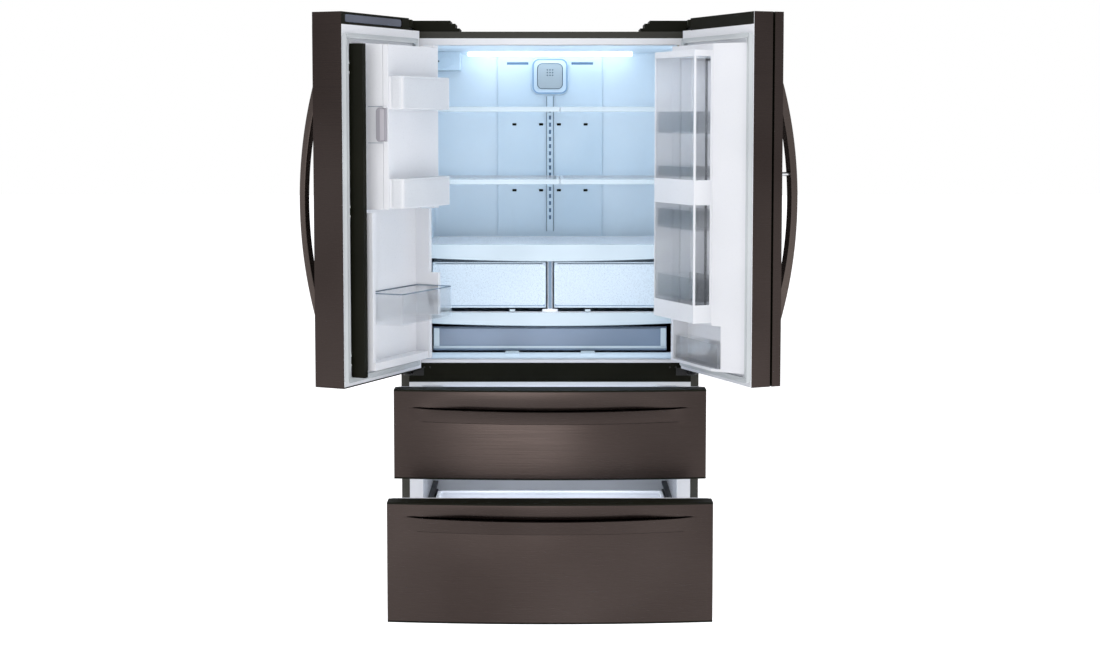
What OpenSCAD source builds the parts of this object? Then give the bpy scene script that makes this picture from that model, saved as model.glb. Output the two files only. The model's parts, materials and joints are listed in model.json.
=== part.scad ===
// Free-standing french door refrigerator: two upper doors, the right one a door-in-door,
// and two freezer drawers. Origin on the floor at the middle of the footprint, front towards -Y.
// Doors and drawers are drawn closed and then swung or pulled out to the rest position.

/* [Cabinet] */
// Width of the cabinet and of the drawer fronts
cab_w = 908; // [900:1:912]
// Depth of the cabinet behind its front flange
cab_d = 750; // [745:1:770]
// Height of the cabinet top above the floor
cab_top = 1740; // [1738:1:1745]
// Thickness of the steel sheet
sheet = 1.2; // [0.8:0.1:1.5]
// Thickness of the moulded liners
lining = 2.5; // [2:0.1:3]
// Half the width of the food spaces
cav = 389; // [386:1:390]
// Depth of the fresh-food space
fresh_d = 640; // [635:1:645]

/* [Doors] */
// Angle of the left door at rest, from closed
left_open = 114.5; // [0:0.5:130]
// Angle of the right door at rest, from closed
right_open = 112.5; // [0:0.5:130]
// Bow of the front face over the full width
bow = 25; // [20:1:30]
// Distance from the cabinet front to the outer face at the middle
face_d = 108; // [106:1:110]

/* [Freezer drawers] */
// How far the upper drawer is pulled out at rest
upper_out = 195; // [0:5:425]
// How far the lower drawer is pulled out at rest
lower_out = 438; // [0:2:460]

/* [Shelves] */
// Underside height of the upper shelves
shelf_a = 1502; // [1490:1:1510]
// Underside height of the lower shelves
shelf_b = 1277; // [1270:1:1290]
// Distance of the shelf fronts behind the cabinet front
shelf_y = 145; // [142:1:160]

/* [Hidden] */

hw = cab_w / 2;
front_y = -98;                      // plane of the cabinet's front flange
back_y = front_y + cab_d;
cab_bottom = 50;
base_top = cab_bottom + 2;
flange_w = 24;
flange_x = hw - flange_w;           // outer edge of the liner flanges
fresh_floor = 748;
fresh_ceil = 1699;
divider = [677, 736];               // heights of the black bar between the compartments
freezer_ceil = 665;
freezer_step = 215;                 // height of the step over the machine space
freezer_floor = 100;
freezer_d = 565;
freezer_low_d = 440;
mach_y = front_y + 470;
mach_top = 195;
face_y = front_y - 14;              // inner face of the closed doors
piv_x = 429;                        // hinge axis
piv_y = front_y - 45;
hinge_r = 43;                       // farthest that a door's hinge end reaches from the axis
pin_r = 5;
fit = 0.05;                         // running clearance of a hinge pin
door_z = [725, 1740];
cap_top = 1775;
arc_r = (hw * hw + bow * bow) / (2 * bow);
arc_fn = 720;
round_fn = 48;

steel = "#4a4140";
black_plastic = "#1c1b12";
white = "#e4e7ee";
clear = [0.75, 0.86, 0.95, 0.45];
grey = "#9aa0a0";
metal = "#8f9396";

// ---- helpers ----
module box(x, y, z) translate([x[0], y[0], z[0]]) cube([x[1] - x[0], y[1] - y[0], z[1] - z[0]]);

// depth interval behind the cabinet front
function behind(a, b) = [front_y + a, front_y + b];

// thin-walled box open at the top
module tray(x, y, z, wall) difference() {
    box(x, y, z);
    box([x[0] + wall, x[1] - wall], [y[0] + wall, y[1] - wall], [z[0] + wall, z[1] + 1]);
}

module rod(r, length) cylinder(h = length, r = r, $fn = round_fn);
module pin_x(r, x, y, z) translate([x[0], y, z]) rotate([0, 90, 0]) rod(r, x[1] - x[0]);
module pin_y(r, x, y, z) translate([x, y[0], z]) rotate([-90, 0, 0]) rod(r, y[1] - y[0]);
module pin_z(r, x, y, z) translate([x, y, z[0]]) rod(r, z[1] - z[0]);

// plan of a closed door or drawer front from x0 to x1, set back by skin from the bowed face
module front_plan(x0, x1, skin = 0, back = 14) intersection() {
    translate([0, front_y - face_d + arc_r]) circle(arc_r - skin, $fn = arc_fn);
    translate([x0, front_y - face_d - 20]) square([x1 - x0, face_d + 20 - back]);
}

// plan of a closed left door, trimmed near the hinge axis so that it swings clear of the case
module door_plan(skin = 0, back = 14) intersection() {
    front_plan(-hw + skin, -2 - skin, skin, back);
    union() {
        translate([-piv_x, front_y - 200]) square([piv_x, 220]);
        translate([-piv_x, piv_y]) circle(hinge_r - skin, $fn = 96);
    }
}

// closed doors are drawn as left doors; a runs from the hinge axis to the free edge and
// c from the inner face into the cabinet
module dbox(a, c, z) box([a[0] - piv_x, a[1] - piv_x], [face_y + c[0], face_y + c[1]], z);
module dpin(r, a, c, z) pin_z(r, a - piv_x, face_y + c, z);
module swing(angle)
    translate([-piv_x, piv_y, 0]) rotate([0, 0, -angle]) translate([piv_x, -piv_y, 0]) children();
module hang_left() swing(left_open) children();
module hang_right() mirror([1, 0, 0]) swing(right_open) children();
module pull(out) translate([0, -out, 0]) children();

// ---- cabinet ----
module cabinet_shell() color(steel) difference() {
    box([-hw, hw], [front_y, back_y], [cab_bottom, cab_top]);
    box([-hw + sheet, hw - sheet], [front_y + sheet, back_y + 1], [cab_bottom - 1, cab_top - sheet]);
    box([-flange_x, flange_x], [front_y - 1, front_y + 2], [cab_bottom - 1, cab_top - 20]);
}

module rear_panel() color("#b9bcbf")
    box([-hw + sheet, hw - sheet], [back_y - sheet, back_y], [mach_top, cab_top - sheet]);

// food spaces, grown by the thickness of their walls
module fresh_space(grow) box([-cav - grow, cav + grow], behind(-1, fresh_d + grow),
    [fresh_floor - grow, fresh_ceil + grow]);

module freezer_space(grow) {
    box([-cav - grow, cav + grow], behind(-1, freezer_d + grow), [freezer_step - grow, freezer_ceil + grow]);
    box([-cav - grow, cav + grow], behind(-1, freezer_low_d + grow),
        [freezer_floor - grow, freezer_step + 1]);
}

module foam_core() color("#e8dfb8") difference() {
    box([-hw + sheet, hw - sheet], [front_y + lining, back_y - sheet], [base_top, cab_top - sheet]);
    fresh_space(lining);
    freezer_space(lining);
    box([-hw, hw], [mach_y, back_y + 1], [base_top - 1, mach_top]);
}

module shelf_ledges() for (z = [shelf_a, shelf_b, 1075], s = [-1, 1])
    box(s < 0 ? [-cav, 6 - cav] : [cav - 6, cav], behind(160, 600), [z - 8, z]);

module fresh_food_liner() color(white) {
    difference() {
        union() {
            box([-cav - lining, cav + lining], behind(1, fresh_d + lining),
                [fresh_floor - lining, fresh_ceil + lining]);
            box([-flange_x, flange_x], behind(0, lining), [divider[1], cab_top - 20]);
        }
        fresh_space(0);
    }
    shelf_ledges();
}

module freezer_liner() color(white) difference() {
    union() {
        intersection() {
            freezer_space(lining);
            box([-hw, hw], behind(1, 700), [0, 700]);
        }
        box([-flange_x, flange_x], behind(0, lining), [cab_bottom + 30, divider[0]]);
    }
    freezer_space(0);
}

module centre_divider() color(black_plastic)
    box([-flange_x, flange_x], behind(0, lining), divider);

// ---- base and machine space ----
leg_x = 395;
leg_y = front_y + 60;
roller_y = back_y - 70;
roller_r = 22;
roller_pin = 4;
fork_x = 15.5;                      // middle of a fork plate from the roller's middle
fork_t = 3;
stud_r = 6;
foot_r = 22;

module base_frame() color(metal) {
    difference() {
        union() {
            box([-hw + 4, hw - 4], behind(6, cab_d - 6), [cab_bottom, base_top]);
            for (s = [-1, 1]) pin_z(2 * stud_r, s * leg_x, leg_y, [30, cab_bottom + 1]);
        }
        for (s = [-1, 1]) pin_z(stud_r, s * leg_x, leg_y, [29, base_top + 1]);
    }
    for (s = [-1, 1]) {
        for (t = [-1, 1]) box([s * leg_x + t * fork_x - fork_t / 2, s * leg_x + t * fork_x + fork_t / 2],
            [roller_y - 16, roller_y + 16], [12, cab_bottom]);
        pin_x(roller_pin, [s * leg_x - fork_x + fork_t / 2, s * leg_x + fork_x - fork_t / 2],
            roller_y, roller_r);
    }
}

module rear_rollers() color("#2a2a2a") for (s = [-1, 1]) difference() {
    pin_x(roller_r, [s * leg_x - 12, s * leg_x + 12], roller_y, roller_r);
    pin_x(roller_pin + fit, [s * leg_x - 13, s * leg_x + 13], roller_y, roller_r);
}

module front_legs() color("#2f2f2f") for (s = [-1, 1]) {
    pin_z(foot_r, s * leg_x, leg_y, [0, 8]);
    pin_z(stud_r, s * leg_x, leg_y, [8, cab_bottom]);
}

module toe_grille() color(black_plastic) difference() {
    box([-hw + 6, hw - 6], behind(2, 6), [18, base_top]);
    for (i = [-9 : 9]) box([i * 44 - 16, i * 44 + 16], behind(1, 7), [26, 32]);
}

module compressor() color("#26282a") translate([-210, back_y - 150, base_top]) {
    for (s = [-1, 1], t = [-1, 1]) translate([s * 75, t * 60, 0]) cylinder(h = 12, r = 12, $fn = round_fn);
    translate([-95, -80, 12]) cube([190, 160, 3]);
    translate([0, 0, 15]) rotate_extrude($fn = 64)
        polygon([[0, 0], [74, 0], [80, 8], [80, 70], [72, 92], [52, 108], [0, 116]]);
}

coil_x = [110, 380];
coil_y = [back_y - 200, back_y - 60];
coil_fin = 22;                      // spacing of the condenser fins
cold_fin = 30;                      // spacing of the evaporator fins
coil_tube_r = 4;

module condenser_coil() color("#7d5a3c") {
    for (i = [0 : 12]) box([coil_x[0] + i * coil_fin, coil_x[0] + i * coil_fin + 1], coil_y,
        [base_top, base_top + 120]);
    for (i = [0 : 11], j = [0 : 2], k = [0 : 2])
        pin_x(coil_tube_r, [coil_x[0] + i * coil_fin + 1, coil_x[0] + (i + 1) * coil_fin],
            coil_y[0] + 25 + j * 45, base_top + 20 + k * 40);
}

fan_z = base_top + 66;
fan_y = back_y - 130;
cold_fan_y = front_y + 500;
cold_fan_z = 560;
motor_r = 20;
shaft_r = 3;

// fan wheel about the z axis with a bored hub
module fan_wheel(r) difference() {
    union() {
        cylinder(h = 18, r = 16, $fn = round_fn);
        for (i = [0 : 4]) rotate([0, 0, i * 72]) translate([12, 0, 9]) rotate([35, 0, 0])
            translate([0, -14, -1.5]) cube([r - 16, 28, 3]);
    }
    translate([0, 0, -1]) cylinder(h = 30, r = shaft_r + fit, $fn = round_fn);
}

module condenser_fan() color("#33373a") translate([40, fan_y, fan_z]) rotate([0, 90, 0]) fan_wheel(55);
module evaporator_fan() color("#d9dde0")
    translate([0, cold_fan_y, cold_fan_z]) rotate([-90, 0, 0]) fan_wheel(60);

module fan_motors() color(metal) {
    pin_x(motor_r, [0, 36], fan_y, fan_z);
    box([14, 18], [fan_y - 70, fan_y + 60], [base_top, base_top + 136]);
    pin_x(shaft_r, [36, 60], fan_y, fan_z);
    pin_y(motor_r, 0, [cold_fan_y + 20, front_y + freezer_d], cold_fan_z);
    pin_y(shaft_r, 0, [cold_fan_y - 2, cold_fan_y + 20], cold_fan_z);
}

module machine_cover() color("#3a3c3e") difference() {
    box([-hw + 6, hw - 6], [back_y - sheet, back_y], [base_top, mach_top]);
    for (i = [-12 : 12], j = [0 : 3]) box([i * 32 - 12, i * 32 + 12], [back_y - 3, back_y + 1],
        [base_top + 24 + j * 28, base_top + 34 + j * 28]);
    // hole that the water inlet stands in
    pin_y(3 * inlet_r, inlet_x, [back_y - 3, back_y + 1], inlet_z);
}

module evaporator() color("#c3c7ca") {
    for (i = [-10 : 10]) box([i * cold_fin, i * cold_fin + 1], behind(505, 560), [300, 480]);
    for (i = [-10 : 9], j = [0 : 1], k = [0 : 3])
        pin_x(coil_tube_r, [i * cold_fin + 1, (i + 1) * cold_fin], front_y + 518 + j * 28, 325 + k * 44);
}

grille_r = 52;
module freezer_duct_panel() color(white) difference() {
    box([-cav, cav], behind(486, 489), [freezer_step, freezer_ceil]);
    // round grille in front of the fan, cut as upright slots
    for (i = [-4 : 4]) let (x = i * 12, half = sqrt(grille_r * grille_r - x * x))
        box([x - 3, x + 3], behind(480, 500), [cold_fan_z - half, cold_fan_z + half]);
    for (i = [-5 : 5]) box([i * 60 - 18, i * 60 + 18], behind(480, 495), [230, 240]);
}

// ---- fresh-food fittings ----
module duct_panel() color("#cfe3f0") difference() {
    box([-176, 176], behind(632, fresh_d), [1060, fresh_ceil]);
    for (x = [-120, -30, 30, 120], z = [1460, 1238]) box([x - 7, x + 7], behind(630, 636), [z - 4, z + 4]);
    for (s = [-1, 1]) box(s < 0 ? [-145, -72] : [72, 145], behind(630, 636), [1660, 1668]);
}

module shelf_track() color("#b8cfe0") difference() {
    box([-11, 11], behind(626, 632), [1100, 1554]);
    for (z = [1140 : 24 : 1500]) box([-4, 4], behind(625, 630), [z, z + 14]);
}

// rounded upright plate centred at x = 0
module badge(w, h, r, y, zc) translate([0, y[1], zc]) rotate([90, 0, 0]) linear_extrude(y[1] - y[0]) union() {
    square([w - 2 * r, h], center = true);
    square([w, h - 2 * r], center = true);
    for (s = [-1, 1], t = [-1, 1]) translate([s * (w / 2 - r), t * (h / 2 - r)]) circle(r, $fn = 64);
}

module air_filter() color("#d7e8f3") difference() {
    badge(124, 123, 22, behind(614, 632), 1621);
    badge(90, 90, 14, behind(610, 616), 1621);
}

module ceiling_lamp() color("white") box([-275, 275], behind(575, 600), [fresh_ceil - 12, fresh_ceil]);

module ice_duct() color("#bfe0ef") difference() {
    box([-cav, -297], behind(520, fresh_d), [1638, fresh_ceil]);
    pin_y(18, -345, behind(518, 560), 1668);
}

module hinge_brackets() color("#2b2b28") for (s = [-1, 1]) {
    // top hinge: base on the case, arm to the axis, pin down into the door
    box([s * 421 - 25, s * 421 + 25], behind(8, 80), [cab_top, cab_top + 4]);
    box([s * piv_x - 14, s * piv_x + 14], [piv_y, front_y + 80], [cab_top + 4, cab_top + 9]);
    pin_z(14, s * piv_x, piv_y, [cab_top + 4, cab_top + 9]);
    pin_z(pin_r, s * piv_x, piv_y, [cab_top - 26, cab_top + 4]);
    // middle hinge: plate on the divider, arm, pin up into the door
    box([s * 415 - 30, s * 415 + 30], behind(-3, 0), [697, 720]);
    box([s * piv_x - 14, s * piv_x + 14], [piv_y, front_y - 3], [706, 711]);
    pin_z(14, s * piv_x, piv_y, [706, 711]);
    pin_z(pin_r, s * piv_x, piv_y, [711, 752]);
}

module hinge_covers() color(black_plastic) for (s = [-1, 1]) {
    mirror([s < 0 ? 0 : 1, 0, 0]) {
        difference() {
            union() {
                box([-451, -300], behind(2, 120), [cab_top, cab_top + 33]);
                box([-300, -285], behind(2, 120), [cab_top, cab_top + 24]);
                box([-285, -272], behind(2, 120), [cab_top, cab_top + 10]);
            }
            box([-448.5, -303], behind(4.5, 117.5), [cab_top - 1, cab_top + 30.5]);
            box([-447, -411], behind(1, 5), [cab_top - 1, cab_top + 10]);
        }
        box([-piv_x - 18, -piv_x + 18], [piv_y, front_y + 2], [cab_top + 10, cab_top + 33]);
        pin_z(18, -piv_x, piv_y, [cab_top + 10, cab_top + 33]);
    }
}

rail_x = 372;                       // inner side of the fixed rails
rail_z = [240, 480];                // undersides of the fixed rails
module freezer_rails() color("#2c3138") for (s = [-1, 1], z = rail_z)
    difference() {
        box(s < 0 ? [-cav, -rail_x] : [rail_x, cav], behind(6, 480), [z, z + 36]);
        box(s < 0 ? [5 - cav, 1 - rail_x] : [rail_x - 1, cav - 5], behind(5, 481), [z + 8, z + 28]);
    }

// shelf frame with a rebate for its pane
split_x = 31;
module shelf_frame(x, z) difference() {
    box(x, behind(shelf_y, 600), [z, z + 12]);
    box([x[0] + 16, x[1] - 16], behind(shelf_y + 12, 584), [z - 1, z + 13]);
    box([x[0] + 10, x[1] - 10], behind(shelf_y + 6, 590), [z + 8, z + 13]);
}

module shelf_pair(z) {
    shelf_frame([-cav, split_x - 1], z);
    shelf_frame([split_x + 1, cav], z);
    box([-10, -1], behind(600, 626), [z, z + 10]);
    box([1, 10], behind(602, 626), [z, z + 10]);
    box([10, 60], behind(602, 608), [z, z + 10]);
    box([40, 60], behind(600, 602), [z, z + 10]);
}

module upper_shelves() color(white) shelf_pair(shelf_a);
module lower_shelves() color(white) shelf_pair(shelf_b);

module shelf_glass() color(clear) for (z = [shelf_a, shelf_b]) {
    box([-cav + 10, split_x - 11], behind(shelf_y + 6, 590), [z + 8, z + 12]);
    box([split_x + 11, cav - 10], behind(shelf_y + 6, 590), [z + 8, z + 12]);
}

// front trim whose lower edge hangs lower in the middle
module bowed_trim(y, z_top, z_side, sag) translate([0, y[1], 0]) rotate([90, 0, 0])
    linear_extrude(y[1] - y[0]) intersection() {
        translate([-cav + 1, z_side - sag - 1]) square([2 * cav - 2, z_top - z_side + sag + 1]);
        translate([0, z_side - sag + (cav * cav + sag * sag) / (2 * sag)])
            circle((cav * cav + sag * sag) / (2 * sag), $fn = 720);
    }

module cover_glass_frame(z) difference() {
    box([-cav, cav], behind(157, 600), [z, z + 10]);
    box([-cav + 20, cav - 20], behind(165, 580), [z - 1, z + 11]);
}

crisper_top = 1087;
crisper_z = [895, 1032];
crisper_x = [12, 368];
pantry_top = 874;
pantry_z = [760, 829];
rear_edge = 590;                    // back of the drawers behind the cabinet front

module crisper_cover() color(white) {
    bowed_trim(behind(shelf_y, 157), crisper_top, 1046, 11);
    cover_glass_frame(crisper_top - 12);
    box([-cav + 20, cav - 20], behind(165, 580), [crisper_top - 8, crisper_top - 4]);
    // centre post and the bar at its foot
    box([-7.5, 7.5], behind(160, 575), [884, crisper_top - 8]);
    box([-24, 24], behind(157, 575), [pantry_top + 2, 884]);
}

module crisper(x) difference() {
    tray(x, behind(150, rear_edge), crisper_z, lining);
    // grip notch in the front wall
    box([x[0] + 60, x[1] - 60], behind(149, 156), [crisper_z[1] - 14, crisper_z[1] + 1]);
}

module crisper_left() color(clear) crisper(-[crisper_x[1], crisper_x[0]]);
module crisper_right() color(clear) crisper(crisper_x);

module pantry_cover() color(white) {
    bowed_trim(behind(shelf_y, 157), pantry_top, 841, 9);
    cover_glass_frame(pantry_top - 8);
    for (s = [-1, 1]) box(s < 0 ? [-cav, 10 - cav] : [cav - 10, cav], behind(157, rear_edge),
        [fresh_floor, pantry_top - 8]);
}

module pantry_drawer() color(clear) difference() {
    box([-crisper_x[1], crisper_x[1]], behind(150, rear_edge), pantry_z);
    box([4 - crisper_x[1], crisper_x[1] - 4], behind(153, rear_edge - 4), [pantry_z[0] + 4, pantry_z[1] + 1]);
}

inlet_x = -32;
inlet_z = base_top + 85;
inlet_r = 3.175;                    // quarter-inch tube
module water_valve() color("#c9cdd0") {
    box([inlet_x - 20, inlet_x + 20], [back_y - 45, back_y - 5], [inlet_z - 25, inlet_z + 15]);
    box([inlet_x - 12, inlet_x + 12], [back_y - 45, back_y - 20], [base_top, inlet_z - 25]);
    pin_y(inlet_r, inlet_x, [back_y - 5, back_y + 15], inlet_z);
}

// ---- left door ----
recess_a = [99, 301];               // dispenser recess
recess_z = [1150, 1450];

module door_skin(back) difference() {
    translate([0, 0, door_z[0]]) linear_extrude(door_z[1] - door_z[0]) difference() {
        door_plan(0, back);
        door_plan(sheet, back - 5);
    }
    children();
}

module dispenser_hole(grow) box([recess_a[0] - grow - piv_x, recess_a[1] + grow - piv_x],
    [front_y - 140, front_y - 42], [recess_z[0] - grow, recess_z[1] + grow]);

module left_door_skin() color(steel) hang_left() door_skin(14) dispenser_hole(0);

module gasket_ring(z) difference() {
    dbox([5, 424], [0, 13], z);
    dbox([20, 412.5], [-1, 14], [z[0] + 13, z[1] - 13]);
}

flap_a = 406.25;                    // hinge axis of the mullion flap
flap_c = 6.25;
flap_z = [751, 1687];
knuckle_z = [800, 1219, 1620];

module left_door_liner() color(white) hang_left() {
    difference() {
        union() {
            translate([0, 0, door_z[0]]) linear_extrude(door_z[1] - door_z[0])
                door_plan(sheet);
            dbox([45, 370], [0, 30], [769, 1690]);
            dbox([45, 60], [30, 75], [769, 1214]);
            dbox([45, 60], [75, 104], [900, 1025]);
            dbox([355, 370], [30, 62], [769, 1214]);
            dbox([45, 370], [30, 70], [769, 790]);
        }
        dispenser_hole(0);
        dpin(pin_r + fit, 0, -31, [door_z[0] - 1, door_z[0] + 28]);
        dpin(pin_r + fit, 0, -31, [door_z[1] - 28, door_z[1] + 1]);
    }
    for (z = knuckle_z, s = [-1, 1]) dbox([401, 411], [0, 10], [z + s * 13.5 - 3, z + s * 13.5 + 3]);
    for (z = knuckle_z) dpin(2, flap_a, flap_c, [z - 10.5, z + 10.5]);
}

module left_door_gasket() color(grey) hang_left() gasket_ring([737, 1716]);

module cap_plan() difference() {
    door_plan();
    translate([-piv_x, piv_y]) circle(50, $fn = 96);
}

module left_door_caps() color(black_plastic) hang_left() {
    difference() {
        translate([0, 0, door_z[1]]) linear_extrude(cap_top - door_z[1]) cap_plan();
        dbox([80, 405], [-5, 1], [door_z[1] + 6, cap_top - 5]);
    }
    translate([0, 0, 721]) linear_extrude(4) difference() {
        door_plan();
        translate([-piv_x, piv_y]) circle(9, $fn = 48);
    }
}

// bow handle between an outer and an inner arc in the upright plane, cut off flat at the door's face
handle_z = [850, 1639];
handle_a = [367, 393];
handle_out = 70;                    // how far its middle stands off the face
handle_t = 20;
handle_end = 80;                    // length of each solid end
handle_face = front_y - face_d + (piv_x - handle_a[1]) * (piv_x - handle_a[1]) / (2 * arc_r);
module bow_handle() {
    half = (handle_z[1] - handle_z[0]) / 2;
    mid = (handle_z[1] + handle_z[0]) / 2;
    r_out = (half * half + handle_out * handle_out) / (2 * handle_out);
    gap = handle_out - handle_t;
    half_in = half - handle_end;
    r_in = (half_in * half_in + gap * gap) / (2 * gap);
    translate([handle_a[0] - piv_x, 0, mid]) rotate([90, 0, 90]) linear_extrude(handle_a[1] - handle_a[0])
        intersection() {
            difference() {
                translate([handle_face - handle_out + r_out, 0]) circle(r_out, $fn = 720);
                translate([handle_face - gap + r_in, 0]) circle(r_in, $fn = 720);
            }
            translate([handle_face - 200, -500]) square([200, 1000]);
        }
}

module left_handle() color(steel) hang_left() bow_handle();

ice_hinge_a = 56;
ice_hinge_c = 96;
ice_pin_r = 3;
module ice_housing() color(white) hang_left() {
    difference() {
        dbox([62, 352], [30, 88], [1223, 1686]);
        dbox([68, 346], [33, 89], [1229, 1680]);
    }
    // ears that carry the ice door's pins
    for (z = [[1217, 1223], [1686, 1692]]) dbox([50, 80], [60, 103], z);
    dpin(ice_pin_r, ice_hinge_a, ice_hinge_c, [1223, 1238]);
    dpin(ice_pin_r, ice_hinge_a, ice_hinge_c, [1671, 1686]);
}

module ice_maker() color("#d4d9de") hang_left() {
    // ice mould at the top and the ice bin under it
    difference() {
        dbox([90, 330], [33, 84], [1580, 1640]);
        for (i = [0 : 6]) dbox([100 + i * 32, 126 + i * 32], [40, 80], [1595, 1641]);
    }
    difference() {
        dbox([80, 336], [33, 86], [1240, 1560]);
        dbox([84, 332], [37, 82], [1246, 1561]);
    }
}

ice_door_z = [1224, 1685];
module ice_bin(z) difference() {
    dbox([72, 348], [105, 150], z);
    dbox([75, 345], [105 - 1, 147], [z[0] + 3, z[1] + 1]);
}

module ice_door() color(white) hang_left() {
    difference() {
        union() {
            dbox([ice_hinge_a, 352], [89, 105], ice_door_z);
            dpin(7, ice_hinge_a, ice_hinge_c, ice_door_z);
        }
        dpin(ice_pin_r + fit, ice_hinge_a, ice_hinge_c, [1222, 1240]);
        dpin(ice_pin_r + fit, ice_hinge_a, ice_hinge_c, [1669, 1687]);
    }
    // lugs that carry the latch's pins
    for (z = [[1411, 1414.5], [1508.5, 1512]]) dbox([352, 360], [94, 102], z);
    dpin(1.5, latch_a, latch_c, [1414.5, 1428]);
    dpin(1.5, latch_a, latch_c, [1495, 1508.5]);
    ice_bin([1505, 1596]);
    ice_bin([1228, 1310]);
}

latch_a = 356;
latch_c = 98;
module ice_latch() color("#a9a8b0") hang_left() {
    dbox([354, 358.5], [70, 94], [1415, 1508]);
    difference() {
        union() {
            dpin(3.2, latch_a, latch_c, [1415, 1508]);
            dbox([354, 358.5], [93, latch_c], [1440, 1480]);
        }
        dpin(1.5 + fit, latch_a, latch_c, [1414, 1430]);
        dpin(1.5 + fit, latch_a, latch_c, [1493, 1509]);
    }
}

module left_door_bin() color(clear) hang_left() difference() {
    dbox([60, 355], [30, 150], [898, 988]);
    dbox([63, 352], [33, 147], [901, 989]);
}

lever_z = 1340;
lever_c = -60;                      // depth of the lever's axis
lever_a = [160, 240];
module lever_pin(r, a, z = lever_z) pin_x(r, [a[0] - piv_x, a[1] - piv_x], face_y + lever_c, z);

module dispenser_housing() color("#22211e") hang_left() {
    difference() {
        intersection() {
            box([recess_a[0] - piv_x, recess_a[1] - piv_x], [front_y - 130, front_y - 42], recess_z);
            linear_extrude(2000) front_plan(-hw, 0, 0, 42);
        }
        dbox([recess_a[0] + 6, recess_a[1] - 6], [-140, -32], [recess_z[0] + 8, recess_z[1] - 70]);
    }
    // lugs and pins of the lever
    for (a = [[148, lever_a[0] - 0.5], [lever_a[1] + 0.5, 252]])
        dbox(a, [lever_c - 6, lever_c + 6], [lever_z - 8, recess_z[1] - 70]);
    lever_pin(2, [lever_a[0] - 0.5, lever_a[0] + 8]);
    lever_pin(2, [lever_a[1] - 8, lever_a[1] + 0.5]);
}

module dispenser_lever() color("#5a5a58") hang_left() {
    difference() {
        lever_pin(5, lever_a);
        lever_pin(2 + fit, [lever_a[0] - 1, lever_a[0] + 10]);
        lever_pin(2 + fit, [lever_a[1] - 10, lever_a[1] + 1]);
    }
    dbox([175, 225], [lever_c - 2, lever_c + 2], [1240, lever_z - 4]);
}

module mullion_flap() color(black_plastic) hang_left() {
    dbox([380, 398], [8, 50], flap_z);
    for (z = knuckle_z) {
        dbox([398, flap_a - 1], [8.5, 10.4], [z - 10, z + 10]);
        difference() {
            dpin(4.2, flap_a, flap_c, [z - 10, z + 10]);
            dpin(2 + fit, flap_a, flap_c, [z - 11, z + 11]);
        }
    }
}

// ---- right door ----
panel_t = 27;                       // outer panel thickness
panel_gap = 7;
window_a = [55, 292];               // opening behind the outer panel
case_a = [45, 302];
case_z = [898, 1672];
panes = [[950, 1234], [1305, 1654]];
lug_z = [[734, 738], [1727, 1731]];

module inner_slab_plan() intersection() {
    front_plan(-hw, -2, panel_t + panel_gap);
    union() {
        translate([-piv_x, 0]) translate([0, front_y - 200]) square([500, 200]);
        translate([-piv_x, piv_y]) circle(10.5, $fn = 96);
        translate([-piv_x - 10.5, piv_y]) square([11, 100]);
    }
}

module right_door_frame() color(white) hang_right() difference() {
    union() {
        translate([0, 0, door_z[0]]) linear_extrude(door_z[1] - door_z[0]) inner_slab_plan();
        // dyke with a slanted side towards the free edge
        translate([0, 0, 760]) linear_extrude(1690 - 760) polygon([
            [case_a[0] - piv_x, face_y - 1], [case_a[0] - piv_x, face_y + 62],
            [305 - piv_x, face_y + 62], [405 - piv_x, face_y - 1]]);
        dbox(case_a, [0, 119], case_z);
        translate([0, 0, door_z[1]]) linear_extrude(cap_top - door_z[1]) difference() {
            inner_slab_plan();
            translate([-piv_x, piv_y]) circle(50, $fn = 96);
        }
    }
    dbox([case_a[0] + 3, case_a[1] - 3], [0, 116], [case_z[0] + 3, case_z[1] - 3]);
    dbox(window_a, [-100, 1], [case_z[0] + 10, case_z[1] - 10]);
    for (p = panes) {
        dbox([case_a[0] + 6, case_a[1] - 6], [115, 120], p);
        dbox([case_a[1] - 4, case_a[1] + 1], [68, 113], p);
    }
    dbox([60, 330], [12, 63], [768, 890]);
    for (z = lug_z) dpin(15, 0, -31, [z[0] - 0.5, z[1] + 0.5]);
    dpin(pin_r + fit, 0, -31, [door_z[0] - 1, door_z[0] + 28]);
    dpin(pin_r + fit, 0, -31, [door_z[1] - 28, door_z[1] + 1]);
}

module right_door_gasket() color(grey) hang_right() gasket_ring([737, 1716]);

module case_covers() color(clear) hang_right() for (p = panes) {
    dbox([case_a[0] + 6, case_a[1] - 6], [116, 119], p);
    dbox([case_a[1] - 3, case_a[1]], [68, 113], p);
}

bin_z = [[958, 1024], [1160, 1216], [1311, 1341], [1435, 1499]];
module case_bins() color(clear) hang_right() {
    for (z = bin_z) difference() {
        dbox([case_a[0] + 3, case_a[1] - 3], [4, 112], z);
        dbox([case_a[0] + 6, case_a[1] - 6], [7, 109], [z[0] + 3, z[1] + 1]);
    }
    difference() {
        dbox([60, 330], [12, 58], [768, 838]);
        dbox([63, 327], [15, 55], [771, 839]);
    }
}

module outer_door_skin() color(steel) hang_right()
    translate([0, 0, door_z[0]]) linear_extrude(door_z[1] - door_z[0]) difference() {
        door_plan();
        door_plan(sheet);
        translate([0, front_y - face_d + arc_r]) circle(arc_r - panel_t, $fn = arc_fn);
    }

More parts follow.
